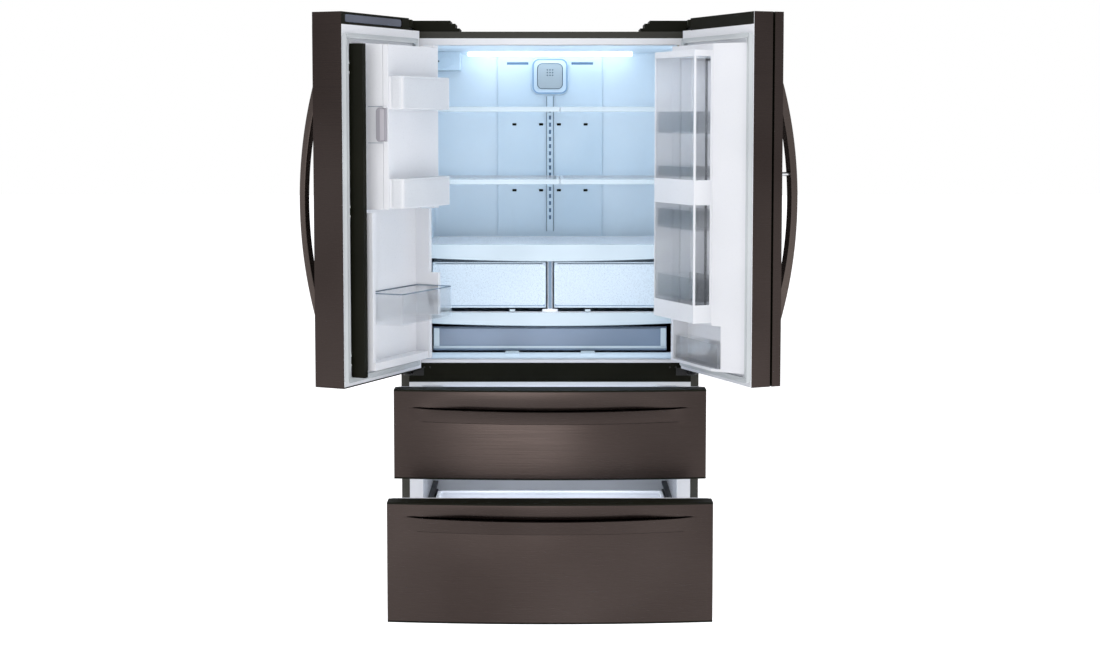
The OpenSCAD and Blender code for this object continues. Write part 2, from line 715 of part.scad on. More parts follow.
module outer_door_liner() color(black_plastic) hang_right() {
    difference() {
        union() {
            translate([0, 0, door_z[0]]) linear_extrude(door_z[1] - door_z[0]) difference() {
                door_plan(sheet);
                translate([0, front_y - face_d + arc_r]) circle(arc_r - panel_t, $fn = arc_fn);
            }
            translate([0, 0, door_z[1]]) linear_extrude(cap_top - door_z[1]) difference() {
                cap_plan();
                translate([0, front_y - face_d + arc_r]) circle(arc_r - panel_t, $fn = arc_fn);
            }
            for (z = lug_z) {
                dpin(10, 0, -31, z);
                dbox([-10, 10], [-50, -31], z);
            }
        }
        dpin(pin_r + fit, 0, -31, [700, 760]);
        dpin(pin_r + fit, 0, -31, [1700, cab_top]);
    }
}

button_z = 1322;
button_a = 380;
module right_handle() color(steel) hang_right() difference() {
    bow_handle();
    pin_y(8, button_a - piv_x, [handle_face - handle_out + 11, handle_face - 5], button_z);
}

module release_button() color("#c8c9cb") hang_right()
    pin_y(6, button_a - piv_x, [handle_face - handle_out + 20, handle_face - 9], button_z);

// ---- freezer drawers ----
pocket_x = 410;                     // half the length of the finger pocket
pocket_h = 30;
pocket_d = 24;
lip_h = 36;
lip_out = 10;                       // how far the lip stands proud

// plan of a band along the bowed face, from out in front of it to deep behind it
module face_band(out, deep, half) intersection() {
    translate([0, front_y - face_d + arc_r]) difference() {
        circle(arc_r + out, $fn = arc_fn);
        circle(arc_r - deep, $fn = arc_fn);
    }
    translate([-half, front_y - face_d - 20]) square([2 * half, 100]);
}

module drawer_front(z, lip_z) {
    difference() {
        translate([0, 0, z[0]]) linear_extrude(z[1] - z[0]) front_plan(-hw, hw);
        // finger pocket over the lip
        translate([0, 0, lip_z]) linear_extrude(pocket_h) face_band(5, pocket_d, pocket_x);
    }
    translate([0, 0, lip_z - lip_h]) linear_extrude(lip_h) face_band(lip_out, 0, pocket_x + 10);
}

module drawer_gasket(z) difference() {
    box([-424, 424], behind(-14, -1), z);
    box([-411, 411], behind(-15, 0), [z[0] + 13, z[1] - 13]);
}

basket_x = 345;                     // outer side of the baskets
basket_in = basket_x - 4;
slide_x = 373;                      // inner side of the slide bars

// basket with its slide bars
module drawer_basket(z, low_z, rail) {
    difference() {
        union() {
            box([-basket_x, basket_x], behind(-14, 470), [z[0], z[1]]);
            if (low_z < z[0]) box([-basket_x, basket_x], behind(-14, 418), [low_z, z[0] + 3]);
        }
        box([-basket_in, basket_in], behind(-10, 466), [z[0] + 4, z[1] + 1]);
        if (low_z < z[0]) box([-basket_in, basket_in], behind(-10, 414), [low_z + 4, z[0] + 5]);
    }
    for (s = [-1, 1]) {
        box(s < 0 ? [-slide_x - 10, -slide_x] : [slide_x, slide_x + 10], behind(-14, 470),
            [rail + 9, rail + 27]);
        box(s < 0 ? [-slide_x, -basket_x] : [basket_x, slide_x], behind(-14, 470), [rail + 14, rail + 22]);
    }
}

upper_z = [433, 695];
lower_z = [76, 415];

module upper_drawer_front() color(steel) pull(upper_out) {
    drawer_front(upper_z, upper_z[1] - 63);
    drawer_gasket([440, 686]);
}
module upper_drawer_basket() color(white) pull(upper_out) drawer_basket([456, 640], 456, rail_z[1]);
module lower_drawer_front() color(steel) pull(lower_out) {
    drawer_front(lower_z, lower_z[1] - 50);
    drawer_gasket([84, 408]);
}
module lower_drawer_basket() color(white) pull(lower_out) drawer_basket([222, 334], 112, rail_z[0]);

cabinet_shell();
rear_panel();
foam_core();
fresh_food_liner();
freezer_liner();
centre_divider();
base_frame();
toe_grille();
front_legs();
rear_rollers();
compressor();
condenser_coil();
condenser_fan();
fan_motors();
machine_cover();
evaporator();
evaporator_fan();
freezer_duct_panel();
duct_panel();
shelf_track();
air_filter();
ceiling_lamp();
ice_duct();
hinge_brackets();
hinge_covers();
freezer_rails();
upper_shelves();
lower_shelves();
shelf_glass();
crisper_cover();
crisper_left();
crisper_right();
pantry_cover();
pantry_drawer();
water_valve();
left_door_skin();
left_door_liner();
left_door_gasket();
left_door_caps();
left_handle();
ice_housing();
ice_maker();
ice_door();
ice_latch();
left_door_bin();
dispenser_housing();
dispenser_lever();
mullion_flap();
right_door_frame();
right_door_gasket();
case_covers();
case_bins();
outer_door_skin();
outer_door_liner();
right_handle();
release_button();
upper_drawer_front();
upper_drawer_basket();
lower_drawer_front();
lower_drawer_basket();
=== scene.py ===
"""Looks of a french door refrigerator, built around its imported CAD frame."""

import json
import math
import sys

import bmesh
import bpy
from bpy.props import FloatProperty, FloatVectorProperty, PointerProperty
from mathutils import Matrix, Vector
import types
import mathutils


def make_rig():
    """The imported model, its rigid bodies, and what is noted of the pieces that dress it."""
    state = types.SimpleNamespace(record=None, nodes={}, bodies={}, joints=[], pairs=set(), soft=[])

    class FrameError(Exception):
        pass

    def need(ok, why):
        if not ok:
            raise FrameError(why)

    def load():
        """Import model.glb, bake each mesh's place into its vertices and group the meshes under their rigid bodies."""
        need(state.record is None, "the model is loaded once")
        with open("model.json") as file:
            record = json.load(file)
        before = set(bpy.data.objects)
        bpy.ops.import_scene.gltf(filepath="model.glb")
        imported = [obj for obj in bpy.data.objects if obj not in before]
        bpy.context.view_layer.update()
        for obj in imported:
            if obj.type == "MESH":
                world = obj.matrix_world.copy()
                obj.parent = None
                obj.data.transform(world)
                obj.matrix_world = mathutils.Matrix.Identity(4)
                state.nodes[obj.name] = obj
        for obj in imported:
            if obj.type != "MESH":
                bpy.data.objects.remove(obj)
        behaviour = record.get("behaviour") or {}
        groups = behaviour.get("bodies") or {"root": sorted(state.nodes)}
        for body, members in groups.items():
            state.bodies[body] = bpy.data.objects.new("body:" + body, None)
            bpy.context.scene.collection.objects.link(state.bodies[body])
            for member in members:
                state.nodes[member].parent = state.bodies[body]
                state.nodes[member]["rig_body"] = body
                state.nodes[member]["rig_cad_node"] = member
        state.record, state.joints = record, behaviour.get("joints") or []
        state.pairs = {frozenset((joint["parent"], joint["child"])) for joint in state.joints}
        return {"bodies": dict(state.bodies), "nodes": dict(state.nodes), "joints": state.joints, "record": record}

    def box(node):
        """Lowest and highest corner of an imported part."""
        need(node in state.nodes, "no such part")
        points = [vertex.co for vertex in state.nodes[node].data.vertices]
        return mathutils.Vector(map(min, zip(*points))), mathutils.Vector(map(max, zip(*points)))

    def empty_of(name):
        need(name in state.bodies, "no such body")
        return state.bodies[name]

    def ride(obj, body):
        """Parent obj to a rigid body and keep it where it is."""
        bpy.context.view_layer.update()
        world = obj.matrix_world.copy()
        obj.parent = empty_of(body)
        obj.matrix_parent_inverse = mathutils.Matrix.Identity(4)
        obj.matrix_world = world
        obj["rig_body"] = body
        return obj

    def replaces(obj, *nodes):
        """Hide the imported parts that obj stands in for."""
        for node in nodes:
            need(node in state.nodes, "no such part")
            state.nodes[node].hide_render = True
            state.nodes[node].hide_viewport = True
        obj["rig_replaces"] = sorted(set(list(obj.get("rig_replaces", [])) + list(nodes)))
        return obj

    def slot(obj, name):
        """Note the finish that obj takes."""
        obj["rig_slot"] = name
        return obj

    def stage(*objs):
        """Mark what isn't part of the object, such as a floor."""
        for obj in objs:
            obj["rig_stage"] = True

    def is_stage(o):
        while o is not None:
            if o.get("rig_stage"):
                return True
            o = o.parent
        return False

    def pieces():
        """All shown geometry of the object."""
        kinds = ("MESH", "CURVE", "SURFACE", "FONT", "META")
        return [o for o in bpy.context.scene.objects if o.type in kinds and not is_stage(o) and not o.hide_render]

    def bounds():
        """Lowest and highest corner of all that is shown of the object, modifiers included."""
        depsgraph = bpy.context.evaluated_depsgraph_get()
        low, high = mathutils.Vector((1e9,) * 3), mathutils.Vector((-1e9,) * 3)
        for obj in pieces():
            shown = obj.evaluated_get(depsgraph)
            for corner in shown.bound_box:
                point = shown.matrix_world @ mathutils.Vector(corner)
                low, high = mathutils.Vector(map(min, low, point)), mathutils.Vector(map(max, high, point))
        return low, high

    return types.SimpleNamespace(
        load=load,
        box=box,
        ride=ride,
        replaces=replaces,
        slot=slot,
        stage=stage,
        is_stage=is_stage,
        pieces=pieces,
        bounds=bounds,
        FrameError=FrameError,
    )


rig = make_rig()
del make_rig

bl_info = {
    "name": "French Door Refrigerator",
    "version": (1, 0, 0),
    "blender": (4, 5, 0),
    "location": "View3D > Sidebar > Refrigerator",
    "description": "Models the skins, liners, bins and shelves of a french door refrigerator",
    "category": "Object",
}

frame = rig.load()
cad_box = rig.bounds()

MM = 0.001
JOINTS = {joint["name"]: joint for joint in frame["joints"]}
SLOTS = {part["node"]: part["material_slot"] for part in frame["record"]["subparts"]}
BODIES = {n: body for body, ns in frame["record"]["behaviour"]["bodies"].items() for n in ns}
FACE_SETBACK = 31 * MM  # from a door's hinge axis to its inner face
CASE_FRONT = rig.box("cabinet_shell")[0].y
HALF_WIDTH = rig.box("cabinet_shell")[1].x
ROUND_ANGLE = math.radians(40)
WELD = 1e-5


def mm(*lengths):
    """Lengths given in millimetres, in metres."""
    return tuple(length * MM for length in lengths)


def off(place, *shifts):
    """A place moved along x, y and z by millimetres."""
    return tuple(c + shift * MM for c, shift in zip(place, shifts))


def sizes():
    """The sizes that a user has set."""
    return bpy.context.scene.refrigerator_sizes


def colours():
    """The colours that a user has set."""
    return bpy.context.scene.refrigerator_colours


def linear(code):
    """A hex sRGB colour as linear RGBA."""
    parts = [int(code[i:i + 2], 16) / 255 for i in (1, 3, 5)]
    return [p / 12.92 if p <= 0.04045 else ((p + 0.055) / 1.055) ** 2.4 for p in parts] + [1.0]


# ---- what a user would change ----
def length(name, description, default):
    """A size in metres."""
    return FloatProperty(name=name, description=description, default=default, min=0.0, unit="LENGTH")


def colour(name, description, code):
    """A colour with its default as a hex value."""
    return FloatVectorProperty(name=name, description=description, default=linear(code), size=4, min=0.0,
                               max=1.0, subtype="COLOR")


class REFRIGERATOR_PG_sizes(bpy.types.PropertyGroup):
    """Sizes of the visible detail"""

    pocket_depth: length("Pocket depth", "How far a drawer's grip pocket is sunk into its face", 9 * MM)
    lip_out: length("Lip reach", "How far a drawer's grip lip stands out", 10 * MM)
    lip_height: length("Lip height", "Height of the band under a drawer's grip pocket", 36 * MM)
    lip_sag: length("Lip sag", "How much lower the lip hangs in the middle than at its ends", 10 * MM)
    gasket_width: length("Gasket width", "Width of the door and drawer gaskets", 14 * MM)
    lining_edge: length("Lining edge", "Edge radius of the left door's white lining", 4 * MM)
    handle_edge: length("Handle edge", "Edge radius of the bow handles", 6 * MM)
    trim_edge: length("Trim edge", "Edge radius of the shelf trims", 3 * MM)


class REFRIGERATOR_PG_colours(bpy.types.PropertyGroup):
    """Colours of the finishes, each with a darker and a lighter cloud, and of the inner lamps"""

    steel_dark: colour("Steel, dark", "Darker cloud of the black stainless sheet", "#342b28")
    steel_light: colour("Steel, light", "Lighter cloud of the black stainless sheet", "#3f3633")
    # The handle colours, lighter than the steel's, are painted highlight.
    handle_dark: colour("Handle, dark", "Darker cloud of the handles", "#4e4541")
    handle_light: colour("Handle, light", "Lighter cloud of the handles", "#5d534e")
    liner_dark: colour("Lining, dark", "Darker cloud of the white linings", "#e0e2e6")
    liner_light: colour("Lining, light", "Lighter cloud of the white linings", "#e8e9ed")
    # The cold-space colours hold the LEDs' ice-blue cast as painted light.
    cold_dark: colour("Cold space, dark", "Darker cloud of the fresh-food lining", "#d9e8f3")
    cold_light: colour("Cold space, light", "Lighter cloud of the fresh-food lining", "#e2eef7")
    gasket_dark: colour("Gasket, dark", "Darker cloud of the gaskets", "#b9bec1")
    gasket_light: colour("Gasket, light", "Lighter cloud of the gaskets", "#c6cbcd")
    lamp_light: FloatVectorProperty(name="Inner lamps", description="Colour of the cabinet's LED light",
                                    default=(0.84, 0.91, 1.0), size=3, min=0.0, max=1.0, subtype="COLOR")


# ---- material nodes ----
def add_node(tree, kind, props=None, values=None, links=None):
    """Adds a node with its properties, socket values and incoming links."""
    node = tree.nodes.new(kind)
    for key, value in (props or {}).items():
        setattr(node, key, value)
    for key, value in (values or {}).items():
        node.inputs[key].default_value = value
    for key, socket in (links or {}).items():
        tree.links.new(socket, node.inputs[key])
    return node


def new_material(name):
    """A material whose node tree holds only the node that reads object coordinates."""
    mat = bpy.data.materials.new(name)
    mat.use_nodes = True
    mat.node_tree.nodes.clear()
    place = add_node(mat.node_tree, "ShaderNodeTexCoord").outputs["Object"]
    return mat, mat.node_tree, place


def pattern(tree, place, size, stretch=(1, 1, 1), detail=3):
    """Noise whose blotches are size metres across, drawn out by stretch."""
    mapping = add_node(tree, "ShaderNodeMapping", links={"Vector": place},
                       values={"Scale": [1 / (size * s) for s in stretch]})
    return add_node(tree, "ShaderNodeTexNoise", links={"Vector": mapping.outputs["Vector"]},
                    values={"Scale": 1.0, "Detail": detail, "Roughness": 0.6}).outputs["Fac"]


def spread(tree, source, low, high):
    """Turns a 0..1 pattern into a range of numbers."""
    limits = {"From Min": 0.3, "From Max": 0.7, "To Min": low, "To Max": high}
    return add_node(tree, "ShaderNodeMapRange", links={"Value": source}, values=limits).outputs["Result"]


def two_tone(tree, source, dark, light):
    """Blends two close colours by a pattern; a colour is a hex value or one of the user's."""
    dark, light = (linear(c) if isinstance(c, str) else c for c in (dark, light))
    ramp = add_node(tree, "ShaderNodeValToRGB", links={"Fac": source})
    ramp.color_ramp.elements[0].position = 0.3
    ramp.color_ramp.elements[0].color = dark
    ramp.color_ramp.elements[1].position = 0.7
    ramp.color_ramp.elements[1].color = light
    return ramp.outputs["Color"]


def relief(tree, source, depth):
    """Bump of a given depth in metres."""
    return add_node(tree, "ShaderNodeBump", links={"Height": source},
                    values={"Strength": 1.0, "Distance": depth}).outputs["Normal"]


def surface(tree, values, links):
    """The principled shader and its output."""
    shader = add_node(tree, "ShaderNodeBsdfPrincipled", values=values, links=links)
    add_node(tree, "ShaderNodeOutputMaterial", links={"Surface": shader.outputs["BSDF"]})


def brushed_metal(name, dark, light, rough, grain, metallic=1.0, coat=0.0):
    """Sheet metal with a fine level brush; grain is the spacing of its lines in metres."""
    mat, tree, place = new_material(name)
    brush = pattern(tree, place, grain, (260, 260, 1), 2)
    cloud = pattern(tree, place, 0.35, detail=1)
    surface(tree, {"Metallic": metallic, "Coat Weight": coat, "Coat Roughness": 0.25},
            {"Base Color": two_tone(tree, cloud, dark, light),
             "Roughness": spread(tree, brush, rough - 0.05, rough + 0.06),
             "Normal": relief(tree, brush, 0.012 * MM)})
    return mat


def moulded_plastic(name, dark, light, rough, grain, depth, values=None):
    """Plastic with the fine texture of its mould; grain and depth are in metres."""
    mat, tree, place = new_material(name)
    texture = pattern(tree, place, grain)
    cloud = pattern(tree, place, 0.25, detail=1)
    surface(tree, {"IOR": 1.5, **(values or {})},
            {"Base Color": two_tone(tree, cloud, dark, light),
             "Roughness": spread(tree, texture, rough - 0.04, rough + 0.05),
             "Normal": relief(tree, texture, depth)})
    return mat


def clear_sheet(name, tint, rough, ior, alpha, wave):
    """Clear moulding or glass; wave is the size of its faint flow ripple in metres."""
    mat, tree, place = new_material(name)
    ripple = pattern(tree, place, wave, detail=1)
    surface(tree, {"Base Color": linear(tint), "Transmission Weight": 1.0, "IOR": ior, "Alpha": alpha},
            {"Roughness": spread(tree, ripple, rough * 0.7, rough * 1.3),
             "Normal": relief(tree, ripple, 0.05 * MM)})
    return mat


# ---- finishes, named for what the real ones are ----
def black_stainless_sheet():
    # Brushed stainless with a dark oxide film under clear lacquer: warm near-black, soft wide highlights.
    return brushed_metal("black_stainless_sheet", colours().steel_dark, colours().steel_light, 0.27, 0.9 * MM,
                         0.92, 0.12)


def handle_metal():
    # Dark satin extrusion with a tighter streak than the flat sheet; its colour, lighter than the sheet's, is painted
    # highlight.
    return brushed_metal("handle_metal", colours().handle_dark, colours().handle_light, 0.27, 0.7 * MM,
                         0.95, 0.1)


def button_metal():
    # Satin chrome on a turned button: the only bright metal outside.
    return brushed_metal("button_metal", "#d4d5d7", "#e3e4e6", 0.18, 0.5 * MM)


def galvanised_sheet():
    # Hot-dip zinc: pale grey flakes of slightly different brightness.
    mat, tree, place = new_material("galvanised_sheet")
    flakes = add_node(tree, "ShaderNodeTexVoronoi", links={"Vector": place}, values={"Scale": 1 / (9 * MM)})
    grey = add_node(tree, "ShaderNodeSeparateColor", links={"Color": flakes.outputs["Color"]}).outputs["Red"]
    surface(tree, {"Metallic": 0.9},
            {"Base Color": two_tone(tree, grey, "#a9acaf", "#bcbfc2"),
             "Roughness": spread(tree, grey, 0.38, 0.5),
             "Normal": relief(tree, pattern(tree, place, 2 * MM), 0.02 * MM)})
    return mat


def finned_aluminium():
    # Mill-finish aluminium: bright, slightly streaked by the rolls.
    return brushed_metal("finned_aluminium", "#c4c8cc", "#d6d9dc", 0.28, 0.6 * MM)


def white_liner():
    # Vacuum-formed high-impact polystyrene: cool white, satin, with a faint orange peel.
    return moulded_plastic("white_liner", colours().liner_dark, colours().liner_light, 0.3, 3.5 * MM,
                           0.03 * MM,
                           {"Subsurface Weight": 0.08, "Subsurface Radius": (0.01, 0.01, 0.012)})


def door_gasket():
    # Soft PVC: light grey, matt, with a slight sheen along its folds.
    return moulded_plastic("door_gasket", colours().gasket_dark, colours().gasket_light, 0.55, 1.2 * MM,
                           0.03 * MM,
                           {"Sheen Weight": 0.15, "Sheen Roughness": 0.5})


def clear_plastic():
    # Clear styrene moulding: water white, edges slightly blue.
    return clear_sheet("clear_plastic", "#f2f7fb", 0.06, 1.3, 0.22, 20 * MM)


def shelf_pane():
    # Tempered soda-lime glass: faint green-blue tint.
    return clear_sheet("shelf_pane", "#e8f4f6", 0.02, 1.45, 0.35, 60 * MM)


def lamp_diffuser():
    # Opal acrylic lit from behind by cool white LEDs.
    mat, tree, place = new_material("lamp_diffuser")
    dots = pattern(tree, place, 18 * MM, detail=0)
    surface(tree, {"Emission Color": linear("#e2f2ff"), "Emission Strength": 4.0, "IOR": 1.49},
            {"Base Color": two_tone(tree, dots, "#f2f8fc", "#ffffff"),
             "Roughness": spread(tree, dots, 0.3, 0.4)})
    return mat


def cool_liner():
    # The same polystyrene inside the cold space, with the ice-blue cast of its LEDs painted into the colour as painted
    # light.
    return moulded_plastic("cool_liner", colours().cold_dark, colours().cold_light, 0.32, 3.5 * MM, 0.02 * MM)


def clear_edge():
    # Edge of a clear moulding, where the light gathered in the wall leaves it slate blue.
    return clear_sheet("clear_edge", "#8fa3b5", 0.08, 1.3, 0.85, 20 * MM)


# Plastics, rubbers and paints: darker cloud, lighter cloud, roughness, grain, depth and further values.
MOULDED = {
    # Injection-moulded panel in pale ice blue with a satin face.
    "cool_panel_plastic": ("#cfe1ee", "#dbe9f3", 0.34, 2 * MM, 0.02 * MM),
    # Glossy pale trim of the shelves: takes the cabinet's light along its whole front.
    "shelf_trim": ("#abb6bc", "#b5c0c6", 0.2, 3 * MM, 0.01 * MM),
    # Spark-eroded black polypropylene with an olive cast and a dull sheen.
    "black_plastic": ("#0d0e05", "#141409", 0.55, 0.8 * MM, 0.03 * MM, {"Specular IOR Level": 0.12}),
    # Polished black ABS: deep and glossy.
    "dispenser_plastic": ("#0f0f0e", "#171716", 0.14, 2 * MM, 0.01 * MM),
    # Glass-filled nylon: mid grey, matt.
    "fan_plastic": ("#34383b", "#404447", 0.55, 1 * MM, 0.04 * MM),
    # Grey acetal with a soft lustre.
    "latch_plastic": ("#94929a", "#9f9da5", 0.4, 1 * MM, 0.02 * MM),
    # Paler copy of the latch plastic, laid on part of the latch's face as painted light.
    "latch_plate_plastic": ("#aeabb2", "#b8b5bc", 0.38, 1 * MM, 0.02 * MM),
    # Natural polypropylene: milky, waxy.
    "valve_plastic": ("#cdd2d6", "#dadfe2", 0.4, 1.5 * MM, 0.02 * MM,
                      {"Subsurface Weight": 0.2, "Subsurface Radius": (0.004, 0.004, 0.004)}),
    # Black rubber tyre: fully matt.
    "roller_rubber": ("#191919", "#232323", 0.75, 1 * MM, 0.06 * MM),
    # Polyurethane foamed in place: creamy, open-pored.
    "insulating_foam": ("#dccf9f", "#e8ddb5", 0.85, 1.5 * MM, 0.4 * MM),
    # Powder-coated steel: even black with a pebbled skin.
    "black_painted_steel": ("#141414", "#1d1d1d", 0.42, 1.2 * MM, 0.05 * MM),
    # Dipped black enamel: glossy with slow waves.
    "compressor_enamel": ("#0b0c0e", "#141518", 0.2, 6 * MM, 0.04 * MM),
    # Steel tube and fins under a brown-black corrosion coat.
    "condenser_steel": ("#2e221a", "#3d2d22", 0.5, 1.2 * MM, 0.04 * MM),
    # Printed dark teal outline on the filter cover.
    "badge_ink": ("#2a4656", "#30505f", 0.35, 1 * MM, 0.005 * MM),
    # Styrene moulded against a blasted tool: milky, lets light through but no shapes.
    "frosted_styrene": ("#cfdde8", "#d9e5ee", 0.28, 2 * MM, 0.02 * MM,
                        {"Transmission Weight": 0.25, "Alpha": 0.92}),
    # Clear styrene of the pantry drawer given a slate blue, nearly opaque: painted light and shade of the space behind
    # it, darker to one side.
    "tinted_styrene": ("#66778c", "#7f91a8", 0.2, 2 * MM, 0.01 * MM,
                       {"Transmission Weight": 0.2, "Alpha": 0.94}),
    # Textured baked paint on the case: olive black, finely pebbled.
    "case_paint": ("#26251d", "#302f26", 0.45, 1 * MM, 0.05 * MM),
    # Thick translucent polypropylene, nearly white.
    "milky_bin": ("#e4e8ee", "#edf0f4", 0.3, 2 * MM, 0.02 * MM, {"Transmission Weight": 0.15, "Alpha": 0.9}),
    # Unlit depth behind a slot in the blue-white panels.
    "shadow_blue": ("#54708c", "#6382a0", 0.5, 1 * MM, 0.02 * MM),
    # Translucent blue outer line of the filter cover.
    "badge_blue": ("#7d9fc0", "#8caccb", 0.3, 1 * MM, 0.01 * MM),
    # Slate grey-blue: painted shade in the narrow gap at the centre post between the crispers, and the dark seams of
    # the white mouldings.
    "post_slate": ("#64788c", "#71869a", 0.4, 1 * MM, 0.02 * MM),
    # Polished black insert coloured slate grey: a painted reflection of a soft window of light.
    "grip_gloss": ("#4a4f5c", "#5b6170", 0.16, 2 * MM, 0.01 * MM),
}
FINISHES = {}


def finish(slot):
    """The material of a slot or extra finish, made once."""
    if slot not in FINISHES:
        FINISHES[slot] = moulded_plastic(slot, *MOULDED[slot]) if slot in MOULDED else globals()[slot]()
    return FINISHES[slot]


# ---- mesh helpers ----
def door_matrix(joint, side):
    """From a closed door's own coordinates to its place at rest. There x runs from the hinge axis to the
    free edge and y from the inner face into the cabinet; side is -1 for the left door and 1 for the right."""
    data = JOINTS[joint]
    pivot = Vector((data["pos_m"][0], data["pos_m"][1], 0))
    turn = Matrix.Rotation(math.radians(-data["range_deg"][0]) * side, 4, "Z")
    mirror = Matrix.Diagonal((-side, 1, 1, 1))
    return Matrix.Translation(pivot) @ turn @ mirror @ Matrix.Translation((0, FACE_SETBACK, 0))


LEFT = door_matrix("left_door_swing", -1)
RIGHT = door_matrix("right_door_swing", 1)


def door_box(node, hang):
    """Lowest and highest corner of a node in its door's own coordinates."""
    back = hang.inverted()
    places = [back @ v.co for v in frame["nodes"][node].data.vertices]
    return (Vector([min(p[i] for p in places) for i in range(3)]),
            Vector([max(p[i] for p in places) for i in range(3)]))


def sharp_edges(bm, angle=math.radians(30)):
    """Edges between faces that meet at more than angle."""
    return [e for e in bm.edges if len(e.link_faces) == 2 and e.calc_face_angle(0) > angle]


def round_edges(bm, edges, radius, segments=3):
    """Rounds the given edges."""
    bmesh.ops.bevel(bm, geom=edges, offset=radius, offset_type="OFFSET", segments=segments, profile=0.5,
                    affect="EDGES", clamp_overlap=True, material=-1)


def finish_piece(name, bm, slot, body, nodes=(), hang=None, look=None):
    """Writes the mesh, and gives the piece its finish, its body and the CAD nodes that it stands for."""
    if hang is not None:
        bm.transform(hang)
        if hang.determinant() < 0:
            bmesh.ops.reverse_faces(bm, faces=bm.faces)
    mesh = bpy.data.meshes.new(name)
    bm.to_mesh(mesh)
    bm.free()
    mesh.polygons.foreach_set("use_smooth", [True] * len(mesh.polygons))
    mesh.set_sharp_from_angle(angle=ROUND_ANGLE)
    piece = bpy.data.objects.new(name, mesh)
    bpy.context.scene.collection.objects.link(piece)
    mesh.materials.append(finish(look or slot))
    piece.modifiers.new("Even shading", "WEIGHTED_NORMAL").keep_sharp = True
    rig.ride(piece, body)
    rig.slot(piece, slot)
    if nodes:
        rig.replaces(piece, *nodes)
    return piece


def merged_copy(node):
    """A welded copy of a node's mesh, with its flat faces whole."""
    bm = bmesh.new()
    bm.from_mesh(frame["nodes"][node].data)
    bmesh.ops.remove_doubles(bm, verts=bm.verts, dist=WELD)
    bmesh.ops.dissolve_limit(bm, angle_limit=math.radians(0.2), verts=bm.verts, edges=bm.edges)
    return bm


def softened(node, name, radius, segments=2, look=None):
    """A node's own shape with its edges rounded, as a piece that stands for it."""
    bm = merged_copy(node)
    round_edges(bm, sharp_edges(bm), radius, segments)
    return finish_piece(name, bm, SLOTS[node], BODIES[node], [node], look=look)


def steel_sides(piece, hang, low=0.0):
    """Gives the outer and free-edge faces of a door piece above a height the steel finish."""
    piece.data.materials.append(finish("black_stainless_sheet"))
    index = len(piece.data.materials) - 1
    back = hang.inverted().to_3x3()
    for face in piece.data.polygons:
        way = back @ face.normal
        if face.center.z > low and (way.x > 0.5 or way.y < -0.5):
            face.material_index = index


def paint(*names):
    """Gives CAD nodes that stay in view their finish."""
    for name in names:
        node = frame["nodes"][name]
        node.data.materials.clear()
        node.data.materials.append(finish(SLOTS[name]))


def slab(bm, lo, hi, corner=0.0, axis="z", steps=5):
    """A block whose four edges along one axis are rounded to a corner radius."""
    lo, hi = Vector(lo), Vector(hi)
    verts = bmesh.ops.create_cube(bm, size=1)["verts"]
    bmesh.ops.scale(bm, vec=hi - lo, verts=verts)
    bmesh.ops.translate(bm, vec=(lo + hi) / 2, verts=verts)
    if corner:
        along = "xyz".index(axis)
        edges = dict.fromkeys(e for v in verts for e in v.link_edges
                              if abs(e.verts[0].co[along] - e.verts[1].co[along]) > WELD)
        round_edges(bm, list(edges), corner, steps)


def tray(bm, lo, hi, wall, corner, foot=None):
    """A moulded tray, open at the top, with round corners and a round foot."""
    part = bmesh.new()
    slab(part, lo, hi, corner)
    bmesh.ops.delete(part, geom=[f for f in part.faces if f.normal.z > 0.9], context="FACES")
    low = [e for e in part.edges if all(abs(v.co.z - lo[2]) < WELD for v in e.verts)]
    round_edges(part, low, foot or corner * 0.6, 4)
    bmesh.ops.solidify(part, geom=part.faces[:], thickness=wall)
    add_part(bm, part)


def add_part(bm, part):
    """Moves a finished part into a bigger mesh."""
    mesh = bpy.data.meshes.new("part")
    part.to_mesh(mesh)
    part.free()
    bm.from_mesh(mesh)
    bpy.data.meshes.remove(mesh)


def disc(bm, radius, lo, hi, axis="y", steps=32):
    """A round bar between two points along one axis."""
    lo, hi = Vector(lo), Vector(hi)
    turn = {"x": Matrix.Rotation(math.radians(90), 4, "Y"), "y": Matrix.Rotation(math.radians(-90), 4, "X"),
            "z": Matrix.Identity(4)}[axis]
    bmesh.ops.create_cone(bm, cap_ends=True, segments=steps, radius1=radius, radius2=radius,
                          depth=(hi - lo).length, matrix=Matrix.Translation((lo + hi) / 2) @ turn)


def blocks(name, slot, body, boxes, edge, nodes=(), hang=None, look=None, corner=0.0, axis="z"):
    """A piece made of rounded blocks."""
    bm = bmesh.new()
    for lo, hi in boxes:
        slab(bm, lo, hi, corner, axis)
    round_edges(bm, sharp_edges(bm), edge, 2)
    return finish_piece(name, bm, slot, body, nodes, hang, look)


def picture_frame(bm, lo, hi, corner, axis, steps, width):
    """The rim of a block with round corners, open along one axis; width is the rim's."""
    slab(bm, lo, hi, corner, axis, steps)
    along = "xyz".index(axis)
    flat = [f for f in bm.faces if abs(f.normal[along]) > 0.9]
    bmesh.ops.inset_individual(bm, faces=flat, thickness=width, use_even_offset=True)
    edges = [e for f in flat for e in f.edges]
    bmesh.ops.delete(bm, geom=flat, context="FACES")
    bmesh.ops.bridge_loops(bm, edges=[e for e in edges if e.is_valid])


def thicken(bm, way):
    """Gives an open sheet its thickness by pulling a copy of it along way."""
    pulled = bmesh.ops.extrude_face_region(bm, geom=bm.faces[:])["geom"]
    bmesh.ops.translate(bm, vec=way, verts=[g for g in pulled if isinstance(g, bmesh.types.BMVert)])
    bmesh.ops.recalc_face_normals(bm, faces=bm.faces)


# ---- stage ----
LENS, SENSOR = 59.4, 36.0  # in millimetres
LENS_SHIFT = -0.06
CAMERA_PLACE = (0, -5.598, 1.475)
CAMERA_PITCH = 4.32  # degrees below level
FLOOR_HALF = 30.0


